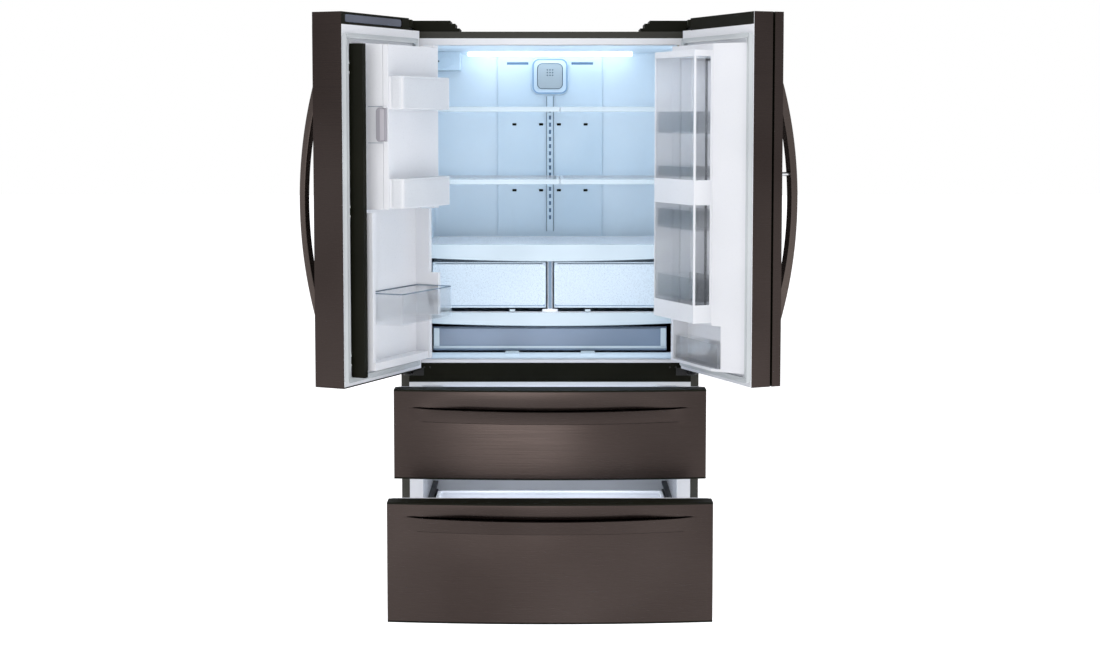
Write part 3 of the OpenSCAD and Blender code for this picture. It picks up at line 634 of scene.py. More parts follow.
class REFRIGERATOR_OT_stage(bpy.types.Operator):
    """Adds the pale floor, the soft studio light and the camera"""

    bl_idname = "refrigerator.stage"
    bl_label = "Stage"

    def execute(self, context):
        scene = context.scene
        # Matt white studio sheet with hardly any tone of its own.
        mat, tree, place = new_material("studio_floor")
        tone = two_tone(tree, pattern(tree, place, 0.5), "#f6f6f6", "#fafafa")
        surface(tree, {"Roughness": 0.9, "Emission Color": (1, 1, 1, 1), "Emission Strength": 0.7},
                {"Base Color": tone})
        bm = bmesh.new()
        bmesh.ops.create_grid(bm, x_segments=2, y_segments=2, size=FLOOR_HALF)
        mesh = bpy.data.meshes.new("floor")
        bm.to_mesh(mesh)
        bm.free()
        floor = bpy.data.objects.new("floor", mesh)
        mesh.materials.append(mat)
        scene.collection.objects.link(floor)
        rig.stage(floor)

        world = bpy.data.worlds.new("studio")
        world.use_nodes = True
        tree = world.node_tree
        tree.nodes.clear()
        seen = add_node(tree, "ShaderNodeBackground", values={"Color": (1, 1, 1, 1), "Strength": 1.0})
        fill = add_node(tree, "ShaderNodeBackground", values={"Color": (0.96, 0.965, 1, 1), "Strength": 0.62})
        path = add_node(tree, "ShaderNodeLightPath")
        both = add_node(tree, "ShaderNodeMixShader", links={"Fac": path.outputs["Is Camera Ray"]})
        tree.links.new(fill.outputs[0], both.inputs[1])
        tree.links.new(seen.outputs[0], both.inputs[2])
        add_node(tree, "ShaderNodeOutputWorld", links={"Surface": both.outputs[0]})
        scene.world = world
        scene.view_settings.view_transform = "Standard"

        def lamp(name, size, power, colour, place, aim):
            data = bpy.data.lights.new(name, "AREA")
            data.shape = "RECTANGLE"
            data.size, data.size_y = size
            data.energy = power
            data.color = colour
            light = bpy.data.objects.new(name, data)
            light.location = place
            light.rotation_euler = (Vector(aim) - Vector(place)).to_track_quat("-Z", "Y").to_euler()
            light.visible_camera = False
            light.visible_glossy = name in ("key_softbox", "top_softbox", "low_softbox")
            light.visible_diffuse = name != "low_softbox"
            scene.collection.objects.link(light)
            return light

        middle = (0, 0, 0.9)
        lamp("key_softbox", (1.6, 2.2), 13, (1, 0.98, 0.96), (-2.6, -3.4, 2.6), middle)
        lamp("fill_softbox", (1.6, 2.6), 18, (0.97, 0.98, 1), (3.2, -2.6, 1.6), middle)
        lamp("top_softbox", (2.4, 2.4), 36, (1, 1, 1), (0, -1.0, 4.0), middle)
        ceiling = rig.box("fresh_food_liner")[1].z
        cool = colours().lamp_light
        lamp("low_softbox", (0.9, 0.5), 9, (1, 0.98, 0.97), (-0.25, -3.3, 0.12), (-0.05, 0, 0.5))
        lamp("ceiling_leds", (0.6, 0.35), 0.5, cool, (0, 0.22, ceiling - 0.03), (0, 0.3, 0))
        lamp("shelf_glow", (0.74, 0.9), 2.1, cool, (0, -0.05, 1.25), (0, 0.5, 1.22))
        lamp("crisper_glow", (0.7, 0.4), 0.22, cool, (0, 0.25, 1.028), (0, 0.26, 0.8))
        lamp("pantry_glow", (0.74, 0.06), 0.1, cool, (0, CASE_FRONT + 0.03, 0.8), (0, 0.6, 0.78))
        lamp("freezer_glow", (0.6, 0.4), 1.6, cool, (0, -0.1, 0.64), (0, 0.0, 0))
        lamp("lower_freezer_glow", (0.6, 0.5), 1.6, cool, (0, -0.2, 0.43), (0, -0.2, 0))
        case = lamp("case_glow", (0.5, 0.12), 0.25, cool, RIGHT @ Vector((0.174, 0.06, 1.655)),
                    RIGHT @ Vector((0.174, 0.06, 0)))
        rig.ride(case, "right_door")

        lens = bpy.data.cameras.new("camera")
        lens.lens = LENS
        lens.sensor_width = SENSOR
        lens.shift_y = LENS_SHIFT
        camera = bpy.data.objects.new("camera", lens)
        camera.location = CAMERA_PLACE
        camera.rotation_euler = (math.radians(90 - CAMERA_PITCH), 0, 0)
        scene.collection.objects.link(camera)
        scene.camera = camera
        return {"FINISHED"}


# ---- freezer drawers ----
GRIP_ROOM = 10 * MM  # depth that the CAD keeps in front of a drawer's face for its lip
SLOT_DEPTH = 14 * MM
SLOT_HEIGHT = 3.5 * MM
POCKET_FADE = 190 * MM
LIP_FADE = 70 * MM
POCKET_HALF = 408 * MM
SAG_ABOVE, SAG_BELOW = 60 * MM, 120 * MM  # how far from the lip the rows still follow its sag
FACE_BOW = 25 * MM  # how far a drawer's face falls back at its ends
FACE_COLUMNS = 150
PLAIN_ROWS = 16
TOP_ROW = 6 * MM  # flat row at the top of a drawer's face
GASKET = 13 * MM
GASKET_HALF = 424 * MM
BACK_FRAME = 14 * MM
CAP = 5 * MM
BASKET_HALF = 345 * MM
RAIL_INNER, RAIL_OUTER = 373 * MM, 383 * MM
UPPER_RAIL, LOWER_RAIL = 480 * MM, 240 * MM  # heights of the slide rails
TUB_WALL = 4 * MM
TUB_CORNER = 16 * MM
LOWER_SHALLOW_FLOOR = 222 * MM


def smooth(t):
    """Eases a number from 0 to 1 in and out."""
    t = min(max(t, 0.0), 1.0)
    return t * t * (3 - 2 * t)


def bow_at(x):
    """How far the bowed front has fallen back at x."""
    return FACE_BOW * (x / HALF_WIDTH) ** 2


def pocket_relief(x, drop, scoop):
    """How far the drawer's face lies behind its bowed plane; drop is the height over the lip's edge."""
    shape = sizes()
    if drop > 0:
        sink = shape.pocket_depth * max(0.0, 1 - drop / scoop) ** 1.7
        slot = SLOT_DEPTH * smooth(1 - drop / SLOT_HEIGHT) * smooth((POCKET_HALF - abs(x)) / LIP_FADE)
        return sink * smooth((POCKET_HALF - abs(x)) / POCKET_FADE) + slot
    if drop > -shape.lip_height:
        share = 1 + drop / shape.lip_height
        return -shape.lip_out * smooth((POCKET_HALF - abs(x)) / LIP_FADE) * (0.3 + 0.7 * share ** 1.5)
    return 0.0


def face_rows(low, high, lip):
    """Heights of the rows of the face, close together at the lip's edge and crease."""
    foot = -sizes().lip_height
    near = mm(-12, -6, -3, -1.2, 0, 0.6, 1.5, 2.5, 4, 6, 9, 13, 18, 24, 31, 39)
    steps = [foot - 1 * MM, foot + 0.5 * MM, foot * 0.78, foot * 0.56, *near]
    below = [low + (lip + steps[0] - low) * i / PLAIN_ROWS for i in range(PLAIN_ROWS)]
    rows = below + [lip + s for s in steps if lip + s < high - TOP_ROW - 1 * MM]
    return rows + [high - TOP_ROW, high]


def drawer_front(name, node, lip_depth):
    """Bowed steel face with its scooped pocket and lip, black end caps, rear frame and gasket."""
    lo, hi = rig.box(node)
    body = BODIES[node]
    front, back = lo.y + GRIP_ROOM, hi.y - GASKET
    frame_y = back - BACK_FRAME
    lip = hi.z - lip_depth
    rows = face_rows(lo.z + CAP, hi.z - CAP, lip)
    bm = bmesh.new()
    bmesh.ops.create_grid(bm, x_segments=FACE_COLUMNS, y_segments=len(rows) - 1, size=0.5)
    for v in bm.verts:
        x = 2 * v.co.x * hi.x
        row = rows[round((v.co.y + 0.5) * (len(rows) - 1))]
        sag = sizes().lip_sag * (x / POCKET_HALF) ** 2
        near = smooth(1 - abs(row - lip) / (SAG_ABOVE if row > lip else SAG_BELOW))
        z = row + sag * near * (0 if row > hi.z - CAP - TOP_ROW - 1 * MM else 1)
        relief_here = pocket_relief(x, row - lip, hi.z - CAP - TOP_ROW - lip)
        v.co = (x, front + bow_at(x) + relief_here, z)
    rim = [e for e in bm.edges if e.is_boundary]
    wall = bmesh.ops.extrude_edge_only(bm, edges=rim)["geom"]
    for v in [g for g in wall if isinstance(g, bmesh.types.BMVert)]:
        v.co.y = frame_y
    bmesh.ops.edgeloop_fill(bm, edges=[e for e in bm.edges if e.is_boundary])
    corner = [e for e in bm.edges if e.calc_face_angle(0) > math.radians(60)
              and all(abs(abs(v.co.x) - hi.x) < WELD and v.co.y < frame_y - WELD for v in e.verts)]
    round_edges(bm, corner, 3 * MM, 3)
    finish_piece(name + "_steel_face", bm, SLOTS[node], body, [node])
    for part, low, high in (("_top_cap", hi.z - CAP, hi.z), ("_bottom_cap", lo.z, lo.z + CAP)):
        bm = bmesh.new()
        bmesh.ops.create_grid(bm, x_segments=60, y_segments=1, size=0.5)
        for v in bm.verts:
            x = 2 * v.co.x * hi.x
            v.co = (x, frame_y if v.co.y > 0 else front + bow_at(x) - 0.5 * MM, low)
        bmesh.ops.recalc_face_normals(bm, faces=bm.faces)
        thicken(bm, (0, 0, high - low))
        round_edges(bm, sharp_edges(bm), 1.5 * MM, 2)
        finish_piece(name + part, bm, "black_plastic", body)
    bm = bmesh.new()
    slab(bm, off((lo.x, frame_y, lo.z), 1, 0, 1), off((hi.x, back, hi.z), -1, 0, -1), 12 * MM, "y")
    round_edges(bm, sharp_edges(bm), 1.5 * MM, 2)
    finish_piece(name + "_rear_frame", bm, "white_liner", body)
    gasket_ring(name + "_gasket", "door_gasket", body, (-GASKET_HALF, back, lo.z + 7 * MM),
                (GASKET_HALF, hi.y, hi.z - 8 * MM))


def gasket_ring(name, slot, body, lo, hi, nodes=(), hang=None):
    """A soft magnetic gasket: a picture-frame bead with a fold down its middle."""
    bm = bmesh.new()
    picture_frame(bm, lo, hi, 8 * MM, "y", 4, sizes().gasket_width)
    ring = [f for f in bm.faces if f.normal.y > 0.9]
    bmesh.ops.inset_region(bm, faces=ring, thickness=4 * MM, depth=-2 * MM, use_even_offset=True)
    bmesh.ops.recalc_face_normals(bm, faces=bm.faces)
    round_edges(bm, sharp_edges(bm), 1.2 * MM, 2)
    return finish_piece(name, bm, slot, body, nodes, hang)


def drawer_basket(name, node, rail, shallow_floor=None):
    """Moulded basket with ribbed walls and a thick rim, on steel slide bars; rail is their height."""
    lo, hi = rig.box(node)
    body = BODIES[node]
    floor = shallow_floor or lo.z
    bm = bmesh.new()
    if shallow_floor:
        tray(bm, (-BASKET_HALF, lo.y, lo.z), (BASKET_HALF, hi.y - 52 * MM, floor + 14 * MM), TUB_WALL,
             TUB_CORNER)
    tray(bm, (-BASKET_HALF, lo.y, floor), (BASKET_HALF, hi.y, hi.z), TUB_WALL, TUB_CORNER)
    for i in range(-5, 6):
        slab(bm, off((0, hi.y, floor), i * 56 - 2, -1, 20), off((0, hi.y, hi.z), i * 56 + 2, 1.5, -20))
    tray_rim(bm, (-BASKET_HALF, lo.y, hi.z), (BASKET_HALF, hi.y, hi.z), 9 * MM, 8 * MM, 18 * MM)
    finish_piece(name + "_tub", bm, "white_liner", body, [node])
    bars = []
    for s in (-1, 1):
        for near, far, low, high in ((RAIL_INNER, RAIL_OUTER, 9, 27), (BASKET_HALF, RAIL_INNER, 14, 22)):
            inner, outer = sorted((s * near, s * far))
            bars.append(((inner, lo.y, rail + low * MM), (outer, hi.y, rail + high * MM)))
    blocks(name + "_slide_bars", "galvanised_sheet", body, bars, 1.2 * MM)


def tray_rim(bm, lo, hi, width, height, corner):
    """A thickened rim round the top of a tray, standing just inside its outer size."""
    part = bmesh.new()
    picture_frame(part, (lo[0], lo[1], lo[2] - height), hi, corner, "z", 5, width)
    bmesh.ops.recalc_face_normals(part, faces=part.faces)
    round_edges(part, sharp_edges(part), 1.5 * MM, 3)
    add_part(bm, part)


class REFRIGERATOR_OT_freezer_drawers(bpy.types.Operator):
    """Models the two freezer drawers with their faces, caps, gaskets, tubs and slides"""

    bl_idname = "refrigerator.freezer_drawers"
    bl_label = "Freezer drawers"

    def execute(self, context):
        drawer_front("upper_drawer", "upper_drawer_front", 63 * MM)
        drawer_front("lower_drawer", "lower_drawer_front", 50 * MM)
        drawer_basket("upper_basket", "upper_drawer_basket", UPPER_RAIL)
        drawer_basket("lower_basket", "lower_drawer_basket", LOWER_RAIL, LOWER_SHALLOW_FLOOR)
        return {"FINISHED"}


# ---- fresh-food space ----
LINER_WALL = 2.5 * MM
FRESH_HALF = 389 * MM
FRESH_FLOOR, FRESH_CEILING = 748 * MM, 1699 * MM
FLANGE_HALF = 430 * MM
LEDGE_HEIGHTS = mm(1502, 1277, 1075)  # tops of the ledges that carry the shelves


class REFRIGERATOR_OT_fresh_space(bpy.types.Operator):
    """Models the lining of the fresh-food space with its duct panel, filter, lamp and ice duct"""

    bl_idname = "refrigerator.fresh_space"
    bl_label = "Fresh-food space"

    def execute(self, context):
        lo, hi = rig.box("fresh_food_liner")
        front = CASE_FRONT
        bm = bmesh.new()
        slab(bm, (-FRESH_HALF, front, FRESH_FLOOR), (FRESH_HALF, hi.y - LINER_WALL, FRESH_CEILING), 16 * MM,
             "y", 6)
        bmesh.ops.delete(bm, geom=[f for f in bm.faces if f.normal.y < -0.9], context="FACES")
        deep = [e for e in bm.edges if all(abs(v.co.y - hi.y + LINER_WALL) < WELD for v in e.verts)]
        round_edges(bm, deep, 12 * MM, 4)
        bmesh.ops.reverse_faces(bm, faces=bm.faces)
        bmesh.ops.solidify(bm, geom=bm.faces[:], thickness=LINER_WALL)
        for z in LEDGE_HEIGHTS:
            for s in (-1, 1):
                a, b = sorted((s * FRESH_HALF, s * (FRESH_HALF - 6 * MM)))
                slab(bm, (a, front + 160 * MM, z - 8 * MM), (b, front + 600 * MM, z), 2.5 * MM, "y", 2)
        finish_piece("fresh_liner", bm, "white_liner", "cabinet", ["fresh_food_liner"], look="cool_liner")
        # flat flange round the opening
        bm = bmesh.new()
        inside = front + LINER_WALL
        for left, low, right, high in ((-FLANGE_HALF, FRESH_CEILING, FLANGE_HALF, hi.z),
                                       (-FLANGE_HALF, lo.z, FLANGE_HALF, FRESH_FLOOR),
                                       (-FLANGE_HALF, FRESH_FLOOR, -FRESH_HALF, FRESH_CEILING),
                                       (FRESH_HALF, FRESH_FLOOR, FLANGE_HALF, FRESH_CEILING)):
            slab(bm, (left, front, low), (right, inside, high))
        finish_piece("fresh_flange", bm, "white_liner", "cabinet")
        softened("duct_panel", "duct_panel_moulding", 1.5 * MM)
        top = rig.box("duct_panel")[0].y
        face = (0, top, 0)
        vents = [(off(face, x - 7, 0.6, z - 4), off(face, x + 7, 1.8, z + 4))
                 for x in (-120, -30, 30, 120) for z in (1460, 1238)]
        blocks("duct_vents", "black_plastic", "cabinet", vents, 0.2 * MM, corner=2 * MM, axis="y")
        slots = [(off(face, x - 36, 0.6, 1660), off(face, x + 36, 1.6, 1668)) for x in (-108.5, 108.5)]
        blocks("duct_slots", "cool_panel_plastic", "cabinet", slots, 0.2 * MM, look="shadow_blue")
        softened("shelf_track", "shelf_track_channel", 0.6 * MM, 1)
        t_lo, t_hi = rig.box("shelf_track")
        strips = [(off((0, t_lo.y, t_lo.z), x - 0.9, -0.4, 0), off((0, t_hi.y, t_hi.z), x + 0.9, 0, 0))
                  for x in (-11, 11)]
        blocks("shelf_track_edges", "black_plastic", "cabinet", strips, 0.3 * MM, look="badge_ink")
        face = (0, t_lo.y, 0)
        slots = [(off(face, -3.6, 2.2, z), off(face, 3.6, 3.6, z + 13.4)) for z in range(1140, 1501, 24)]
        blocks("shelf_track_slots", "black_plastic", "cabinet", slots, 0.3 * MM, look="shadow_blue")
        softened("ice_duct", "ice_duct_cover", 8 * MM, 4)
        face = (0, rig.box("ice_duct")[0].y, 0)
        bm = bmesh.new()
        disc(bm, 18.5 * MM, off(face, -345, -1, 1668), off(face, -345, 2, 1668), steps=48)
        slab(bm, off(face, -318, -1.5, 1656), off(face, -314, 1, 1682))
        round_edges(bm, sharp_edges(bm), 0.6 * MM, 2)
        finish_piece("ice_duct_flap", bm, "cool_panel_plastic", "cabinet")
        bm = bmesh.new()
        disc(bm, 3 * MM, off(face, -368, -0.6, 1668), off(face, -368, 1, 1668), steps=16)
        finish_piece("ice_duct_screw", bm, "cool_panel_plastic", "cabinet", look="badge_ink")
        softened("ceiling_lamp", "ceiling_lamp_lens", 4 * MM, 4)
        self.filter_badge()
        return {"FINISHED"}

    def filter_badge(self):
        """Air filter cover: a rounded square with two outlines and a plain tile with a few dots."""
        lo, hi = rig.box("air_filter")
        middle = (lo + hi) / 2
        y = lo.y

        def square(side, front, back):
            """Lowest and highest corner of a square tile on the cover's middle."""
            half = side / 2
            return ((middle.x - half, front, middle.z - half), (middle.x + half, back, middle.z + half))

        bm = bmesh.new()
        slab(bm, *square(123 * MM, y + 2 * MM, hi.y), 24 * MM, "y", 8)
        round_edges(bm, sharp_edges(bm), 3 * MM, 3)
        finish_piece("air_filter_cover", bm, "cool_panel_plastic", "cabinet", ["air_filter"])
        for part, side, width, look in (("air_filter_outer_line", 118 * MM, 5 * MM, "badge_blue"),
                                        ("air_filter_inner_line", 86 * MM, 1.8 * MM, "badge_ink")):
            bm = bmesh.new()
            picture_frame(bm, *square(side, y, y + 2.5 * MM), side * 0.2, "y", 8, width)
            bmesh.ops.recalc_face_normals(bm, faces=bm.faces)
            round_edges(bm, sharp_edges(bm), 0.4 * MM, 2)
            finish_piece(part, bm, "cool_panel_plastic", "cabinet", look=look)
        bm = bmesh.new()
        slab(bm, *square(82 * MM, y + 1 * MM, y + 4 * MM), 14 * MM, "y", 8)
        round_edges(bm, sharp_edges(bm), 0.8 * MM, 2)
        finish_piece("air_filter_tile", bm, "cool_panel_plastic", "cabinet", look="shelf_trim")
        bm = bmesh.new()
        for i in range(3):
            for j in range(3):
                x, z = middle.x + (i - 1) * 9 * MM, middle.z + 12 * MM + (j - 1) * 9 * MM
                disc(bm, 2.2 * MM, (x, y + 0.4 * MM, z), (x, y + 2 * MM, z), steps=16)
        finish_piece("air_filter_dots", bm, "cool_panel_plastic", "cabinet", look="badge_ink")


# ---- shelves, crispers and pantry ----
class REFRIGERATOR_OT_shelves(bpy.types.Operator):
    """Models the glass shelves with their bright front trims"""

    bl_idname = "refrigerator.shelves"
    bl_label = "Shelves"

    def execute(self, context):
        for node in ("upper_shelves", "lower_shelves"):
            lo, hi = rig.box(node)
            softened(node, node.replace("shelves", "shelf_frames"), 1.5 * MM)
            front = (0, lo.y, 0)
            low, high = lo.z / MM - 2, hi.z / MM + 2
            ends = (lo.x / MM + 0.5, 30), (32, hi.x / MM - 0.5)
            trims = [(off(front, a, -1.5, low), off(front, b, 13, high)) for a, b in ends]
            blocks(node.replace("shelves", "shelf_trims"), "white_liner", "cabinet", trims, sizes().trim_edge,
                   look="shelf_trim")
        softened("shelf_glass", "shelf_panes", 1 * MM)
        return {"FINISHED"}


def crisper(name, node):
    """Deep moulded drawer: milky tub, thicker front with a rolled rim, and a strip of painted shade along the foot of
    its front.
    """
    lo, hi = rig.box(node)
    bm = bmesh.new()
    tray(bm, lo, (hi.x, hi.y, hi.z - 3 * MM), 2.5 * MM, 10 * MM)
    tray_rim(bm, lo, hi, 7 * MM, 6 * MM, 11 * MM)
    finish_piece(name + "_tub", bm, "clear_plastic", BODIES[node], [node], look="frosted_styrene")
    blocks(name + "_front_panel", "clear_plastic", BODIES[node],
           [(off(lo, 2, -3, 2), off((hi.x, lo.y, hi.z), -2, 0.5, -6))], 1.2 * MM,
           look="frosted_styrene", corner=9 * MM, axis="y")
    # Painted shade: a slate strip along the foot of the front panel.
    blocks(name + "_foot_shade_strip", "white_liner", BODIES[node],
           [(off(lo, 4, -2.5, 0.5), off((hi.x, lo.y, lo.z), -4, 4, 5))], 1 * MM,
           look="shadow_blue")


class REFRIGERATOR_OT_lower_drawers(bpy.types.Operator):
    """Models the crispers, the pantry drawer and their covers"""

    bl_idname = "refrigerator.lower_drawers"
    bl_label = "Crispers and pantry"

    def execute(self, context):
        softened("crisper_cover", "crisper_cover_frame", 1.2 * MM)
        softened("pantry_cover", "pantry_cover_frame", 1.2 * MM)
        bowed_trim_fronts()
        crisper("crisper_left", "crisper_left")
        crisper("crisper_right", "crisper_right")
        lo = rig.box("crisper_cover")[0]
        # Painted shade: a slate strip on the white centre post, in the narrow gap between the crispers.
        blocks("crisper_gap_shade", "white_liner", "cabinet",
               [(off((0, lo.y, 0), -5.5, 13, 886), off((0, lo.y, 0), 5.5, 15.2, 1040))], 0.5 * MM,
               look="post_slate")
        # The clear pantry drawer's tub and front sheet are coloured slate blue and nearly opaque: painted light and
        # shade of the space behind them.
        lo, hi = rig.box("pantry_drawer")
        bm = bmesh.new()
        tray(bm, lo, (hi.x, hi.y, hi.z - 2 * MM), 3.5 * MM, 14 * MM)
        tray_rim(bm, lo, hi, 8 * MM, 5 * MM, 14 * MM)
        finish_piece("pantry_drawer_tub", bm, "clear_plastic", "pantry_drawer", ["pantry_drawer"],
                     look="tinted_styrene")
        blocks("pantry_drawer_painted_front", "clear_plastic", "pantry_drawer",
               [(off(lo, 20, -1, 6), off((hi.x, lo.y, hi.z), -20, 0.5, -5))],
               0.5 * MM, look="tinted_styrene")
        blocks("pantry_drawer_sill", "clear_plastic", "pantry_drawer",
               [(off(lo, 3, -2, 1), off((hi.x, lo.y, lo.z), -3, 2, 9)),
                (off((hi.x, lo.y, lo.z), -22, -2, 4), off((hi.x, lo.y, hi.z), -4, 2, -4)),
                (off(lo, 4, -2, 4), off((lo.x, lo.y, hi.z), 22, 2, -4))],
               1.5 * MM, look="shelf_trim")
        front = (0, lo.y, 0)
        under_crispers = [(off(front, x - 9, 2, 876.5), off(front, x + 9, 30, 884)) for x in (-118, 118)]
        under_pantry = [(off(front, x - 22, -20, 748), off(front, x + 22, 30, 754)) for x in (-118, 118)]
        blocks("drawer_rests", "white_liner", "cabinet", under_crispers + under_pantry, 1.5 * MM,
               look="shelf_trim")
        return {"FINISHED"}


TRIM_DEPTH = 13 * MM


def bowed_trim_fronts():
    """Glossy faces over the crisper cover's and the pantry cover's trims."""
    for name, node, top, side, sag in (("crisper_trim", "crisper_cover", 1087 * MM, 1046 * MM, 11 * MM),
                                       ("pantry_trim", "pantry_cover", 874 * MM, 841 * MM, 9 * MM)):
        lo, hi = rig.box(node)
        bm = bmesh.new()
        front = lo.y - 1.5 * MM
        bmesh.ops.create_grid(bm, x_segments=60, y_segments=1, size=0.5)
        for v in bm.verts:
            x = 2 * v.co.x * (hi.x - 0.5 * MM)
            low = side - sag * (1 - (x / hi.x) ** 2) - 0.5 * MM
            v.co = (x, front, top + 0.5 * MM if v.co.y > 0 else low)
        thicken(bm, (0, TRIM_DEPTH, 0))
        round_edges(bm, sharp_edges(bm), 3 * MM, 3)
        finish_piece(name, bm, "white_liner", "cabinet", look="shelf_trim")


# ---- cabinet ----
class REFRIGERATOR_OT_cabinet(bpy.types.Operator):
    """Finishes the case, base, machine space, hinges and freezer lining"""

    bl_idname = "refrigerator.cabinet"
    bl_label = "Cabinet"

    def execute(self, context):
        softened("cabinet_shell", "cabinet_case", 0.5 * MM, look="case_paint")
        edges = {"rear_panel": 0.4, "freezer_liner": 0.8, "centre_divider": 0.8, "base_frame": 0.8,
                 "toe_grille": 1.0, "front_legs": 1.2, "rear_rollers": 2.0, "fan_motors": 1.0,
                 "machine_cover": 0.3, "hinge_brackets": 0.8, "hinge_covers": 2.5, "freezer_rails": 1.2,
                 "water_valve": 1.2}
        for node, radius in edges.items():
            softened(node, node + "_finished", radius * MM)
        paint("foam_core", "compressor", "condenser_coil", "condenser_fan", "evaporator", "evaporator_fan",
              "freezer_duct_panel")
        bm = bmesh.new()
        face = (0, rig.box("centre_divider")[0].y, 0)
        for x in (-384, -366, 366, 384):
            disc(bm, 3 * MM, off(face, x, -0.8, 722), off(face, x, 1, 722), steps=20)
        round_edges(bm, sharp_edges(bm), 0.4 * MM, 2)
        finish_piece("divider_screws", bm, "galvanised_sheet", "cabinet", look="black_painted_steel")
        blocks("freezer_sill", "galvanised_sheet", "cabinet",
               [(mm(-452, -97.6, 52.5), mm(452, -95.6, 79.5))], 0.3 * MM,
               look="case_paint")
        return {"FINISHED"}


# ---- doors ----
class REFRIGERATOR_OT_left_door(bpy.types.Operator):
    """Models the left door with its gasket, lining, ice housing, bins and dispenser"""

    bl_idname = "refrigerator.left_door"
    bl_label = "Left door"

    def execute(self, context):
        paint("left_door_skin")
        softened("left_door_liner", "left_door_lining", sizes().lining_edge, 3)
        lo, hi = door_box("left_door_gasket", LEFT)
        gasket_ring("left_gasket", "door_gasket", "left_door", lo, hi, ["left_door_gasket"], LEFT)
        steel_sides(softened("left_door_caps", "left_door_end_caps", 1.5 * MM), LEFT)
        cap_grip("left_cap_grip", "left_door", LEFT)
        softened("left_handle", "left_bow_handle", sizes().handle_edge, 4)
        softened("ice_housing", "ice_housing_moulding", 3 * MM, 3)
        softened("ice_maker", "ice_maker_mould", 1 * MM)
        softened("left_door_bin", "left_door_bin_clear", 0.3 * MM, 1)
        bin_rim("left_door_bin_rim", "left_door", LEFT, "left_door_bin")
        softened("dispenser_housing", "dispenser_recess", 2 * MM)
        softened("dispenser_lever", "dispenser_paddle", 1.2 * MM)
        softened("mullion_flap", "mullion_flap_bar", 2 * MM)
        self.ice_door()
        return {"FINISHED"}

    def ice_door(self):
        """Insulated ice-room door with its two milky bins, seams and latch."""
        softened("ice_door", "ice_door_moulding", 2 * MM, 3)
        for part, low, high in (("upper", 1505, 1596), ("lower", 1228, 1310)):
            bm = bmesh.new()
            tray(bm, mm(70, 105.5, low - 2), mm(350, 151, high), 2.5 * MM, 14 * MM)
            tray_rim(bm, mm(69, 105.5, high), mm(351, 153, high + 1), 5 * MM, 5 * MM, 15 * MM)
            finish_piece("ice_door_%s_bin" % part, bm, "white_liner", "ice_door", hang=LEFT, look="milky_bin")
        blocks("ice_housing_seams", "white_liner", "left_door",
               [(mm(351.5, 40, z), mm(352.6, 87, z + 1.2)) for z in (1410, 1512)],
               0.3 * MM, hang=LEFT, look="post_slate")
        bm = bmesh.new()
        slab(bm, mm(354, 69, 1414), mm(358.8, 97, 1509), 9 * MM, "x", 2)
        disc(bm, 3.2 * MM, mm(356, 98, 1415), mm(356, 98, 1508), "z", 20)
        round_edges(bm, sharp_edges(bm), 0.8 * MM, 2)
        finish_piece("ice_latch_body", bm, "latch_plastic", "ice_latch", ["ice_latch"], LEFT)
        # A paler copy of the latch plastic on part of its face: painted light.
        blocks("ice_latch_painted_light", "latch_plastic", "ice_latch",
               [(mm(358.3, 82, 1418), mm(360, 96, 1505))], 0.7 * MM, hang=LEFT,
               look="latch_plate_plastic")


def cap_grip(name, body, hang):
    """Glossy black insert in the recess of a door's top cap, coloured slate grey as painted reflection."""
    blocks(name, "black_plastic", body, [(mm(82, -4.8, 1747), mm(403, -1.8, 1769))], 1.5 * MM,
           hang=hang, look="grip_gloss", corner=8 * MM, axis="y")


def bin_rim(name, body, hang, node):
    """Darker edges of a clear bin, where its thick rim gathers the light."""
    lo, hi = door_box(node, hang)
    bm = bmesh.new()
    tray_rim(bm, (lo.x - 0.5 * MM, lo.y, hi.z), off(hi, 0.5, 0.5, 0.5), 4 * MM, 3 * MM, 8 * MM)
    finish_piece(name, bm, "clear_plastic", body, hang=hang, look="clear_edge")


STEEL_FACE, PLASTIC_FACE = 1, 2  # material numbers on the inner frame
CAP_FOOT = 1740 * MM


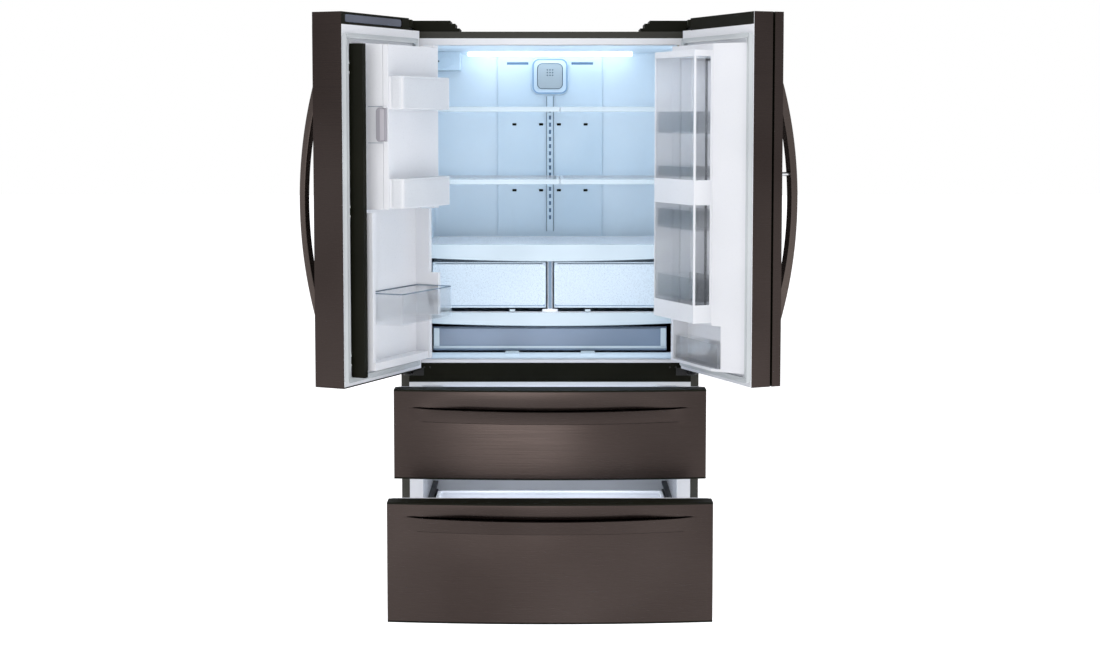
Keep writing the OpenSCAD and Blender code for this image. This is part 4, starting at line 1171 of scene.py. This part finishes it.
class REFRIGERATOR_OT_right_door(bpy.types.Operator):
    """Models the right door: inner frame with its case, windows and bins, and the outer door"""

    bl_idname = "refrigerator.right_door"
    bl_label = "Right door"

    def execute(self, context):
        self.inner_frame()
        lo, hi = door_box("right_door_gasket", RIGHT)
        gasket_ring("right_gasket", "door_gasket", "right_door", lo, hi, ["right_door_gasket"], RIGHT)
        softened("case_covers", "case_windows", 0.5 * MM, 1)
        softened("case_bins", "case_bins_clear", 0.5 * MM, 1)
        paint("outer_door_skin")
        steel_sides(softened("outer_door_liner", "outer_door_lining", 1 * MM), RIGHT, CAP_FOOT)
        softened("right_handle", "right_bow_handle", sizes().handle_edge, 4)
        softened("release_button", "release_push_button", 1.2 * MM, 3)
        cap_grip("right_cap_grip", "right_door", RIGHT)
        self.outer_lining()
        return {"FINISHED"}

    def outer_lining(self):
        """White moulded panel on the inside of the outer door, behind the case."""
        bm = bmesh.new()
        bmesh.ops.create_grid(bm, x_segments=24, y_segments=2, size=0.5)
        for v in bm.verts:
            a = (174 + 222 * v.co.x) * MM
            v.co = (a, -66.5 * MM + bow_at(a - 429 * MM), (1285 + 730 * v.co.y) * MM)
        thicken(bm, (0, 4 * MM, 0))
        round_edges(bm, sharp_edges(bm), 1.5 * MM, 3)
        finish_piece("outer_door_inner_panel", bm, "black_plastic", "outer_door", hang=RIGHT,
                     look="white_liner")

    def inner_frame(self):
        """White case and lining on a steel-edged slab with a black top cap."""
        bm = merged_copy("right_door_frame")
        back = RIGHT.inverted()
        bm.transform(back)
        bmesh.ops.reverse_faces(bm, faces=bm.faces)
        bm.normal_update()
        for place, way in (((0, -1 * MM, 0), (0, 1, 0)), ((0, 0, CAP_FOOT), (0, 0, 1))):
            bmesh.ops.bisect_plane(bm, geom=bm.verts[:] + bm.edges[:] + bm.faces[:], dist=WELD,
                                   plane_co=place, plane_no=way)
        round_edges(bm, [e for e in sharp_edges(bm) if all(v.co.y > -0.5 * MM for v in e.verts)], 3 * MM, 3)
        for face in bm.faces:
            middle = face.calc_center_median()
            in_window = 50 * MM < middle.x < 297 * MM and 900 * MM < middle.z < 1670 * MM
            free_edge = face.normal.x > 0.5 and middle.x > 400 * MM
            if middle.z > CAP_FOOT and not free_edge:
                face.material_index = PLASTIC_FACE
            elif middle.y < -1 * MM and not in_window:
                face.material_index = STEEL_FACE
        piece = finish_piece("right_inner_frame", bm, "white_liner", "right_door", ["right_door_frame"],
                             RIGHT)
        for look in ("black_stainless_sheet", "black_plastic"):
            piece.data.materials.append(finish(look))


OPERATORS = (REFRIGERATOR_OT_stage, REFRIGERATOR_OT_cabinet, REFRIGERATOR_OT_fresh_space,
             REFRIGERATOR_OT_shelves, REFRIGERATOR_OT_lower_drawers, REFRIGERATOR_OT_freezer_drawers,
             REFRIGERATOR_OT_left_door, REFRIGERATOR_OT_right_door)


class REFRIGERATOR_PT_build(bpy.types.Panel):
    """Lists the refrigerator's sizes, colours and pieces"""

    bl_idname = "REFRIGERATOR_PT_build"
    bl_label = "French door refrigerator"
    bl_space_type = "VIEW_3D"
    bl_region_type = "UI"
    bl_category = "Refrigerator"

    def draw(self, context):
        for group in (sizes(), colours()):
            box = self.layout.box()
            for name in type(group).__annotations__:
                box.prop(group, name)
        for operator in OPERATORS:
            self.layout.operator(operator.bl_idname)


CLASSES = (REFRIGERATOR_PG_sizes, REFRIGERATOR_PG_colours, *OPERATORS, REFRIGERATOR_PT_build)


def register():
    for cls in CLASSES:
        bpy.utils.register_class(cls)
    bpy.types.Scene.refrigerator_sizes = PointerProperty(type=REFRIGERATOR_PG_sizes)
    bpy.types.Scene.refrigerator_colours = PointerProperty(type=REFRIGERATOR_PG_colours)


def unregister():
    del bpy.types.Scene.refrigerator_sizes
    del bpy.types.Scene.refrigerator_colours
    for cls in reversed(CLASSES):
        bpy.utils.unregister_class(cls)


def main():
    register()
    bpy.ops.refrigerator.stage()
    bpy.ops.refrigerator.cabinet()
    bpy.ops.refrigerator.fresh_space()
    bpy.ops.refrigerator.shelves()
    bpy.ops.refrigerator.lower_drawers()
    bpy.ops.refrigerator.freezer_drawers()
    bpy.ops.refrigerator.left_door()
    bpy.ops.refrigerator.right_door()
    boxes = {"cad": [list(c) for c in cad_box], "visual": [list(c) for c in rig.bounds()]}
    with open("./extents.json", "w") as out:
        json.dump(boxes, out)


if __name__ == "__main__":
    main()
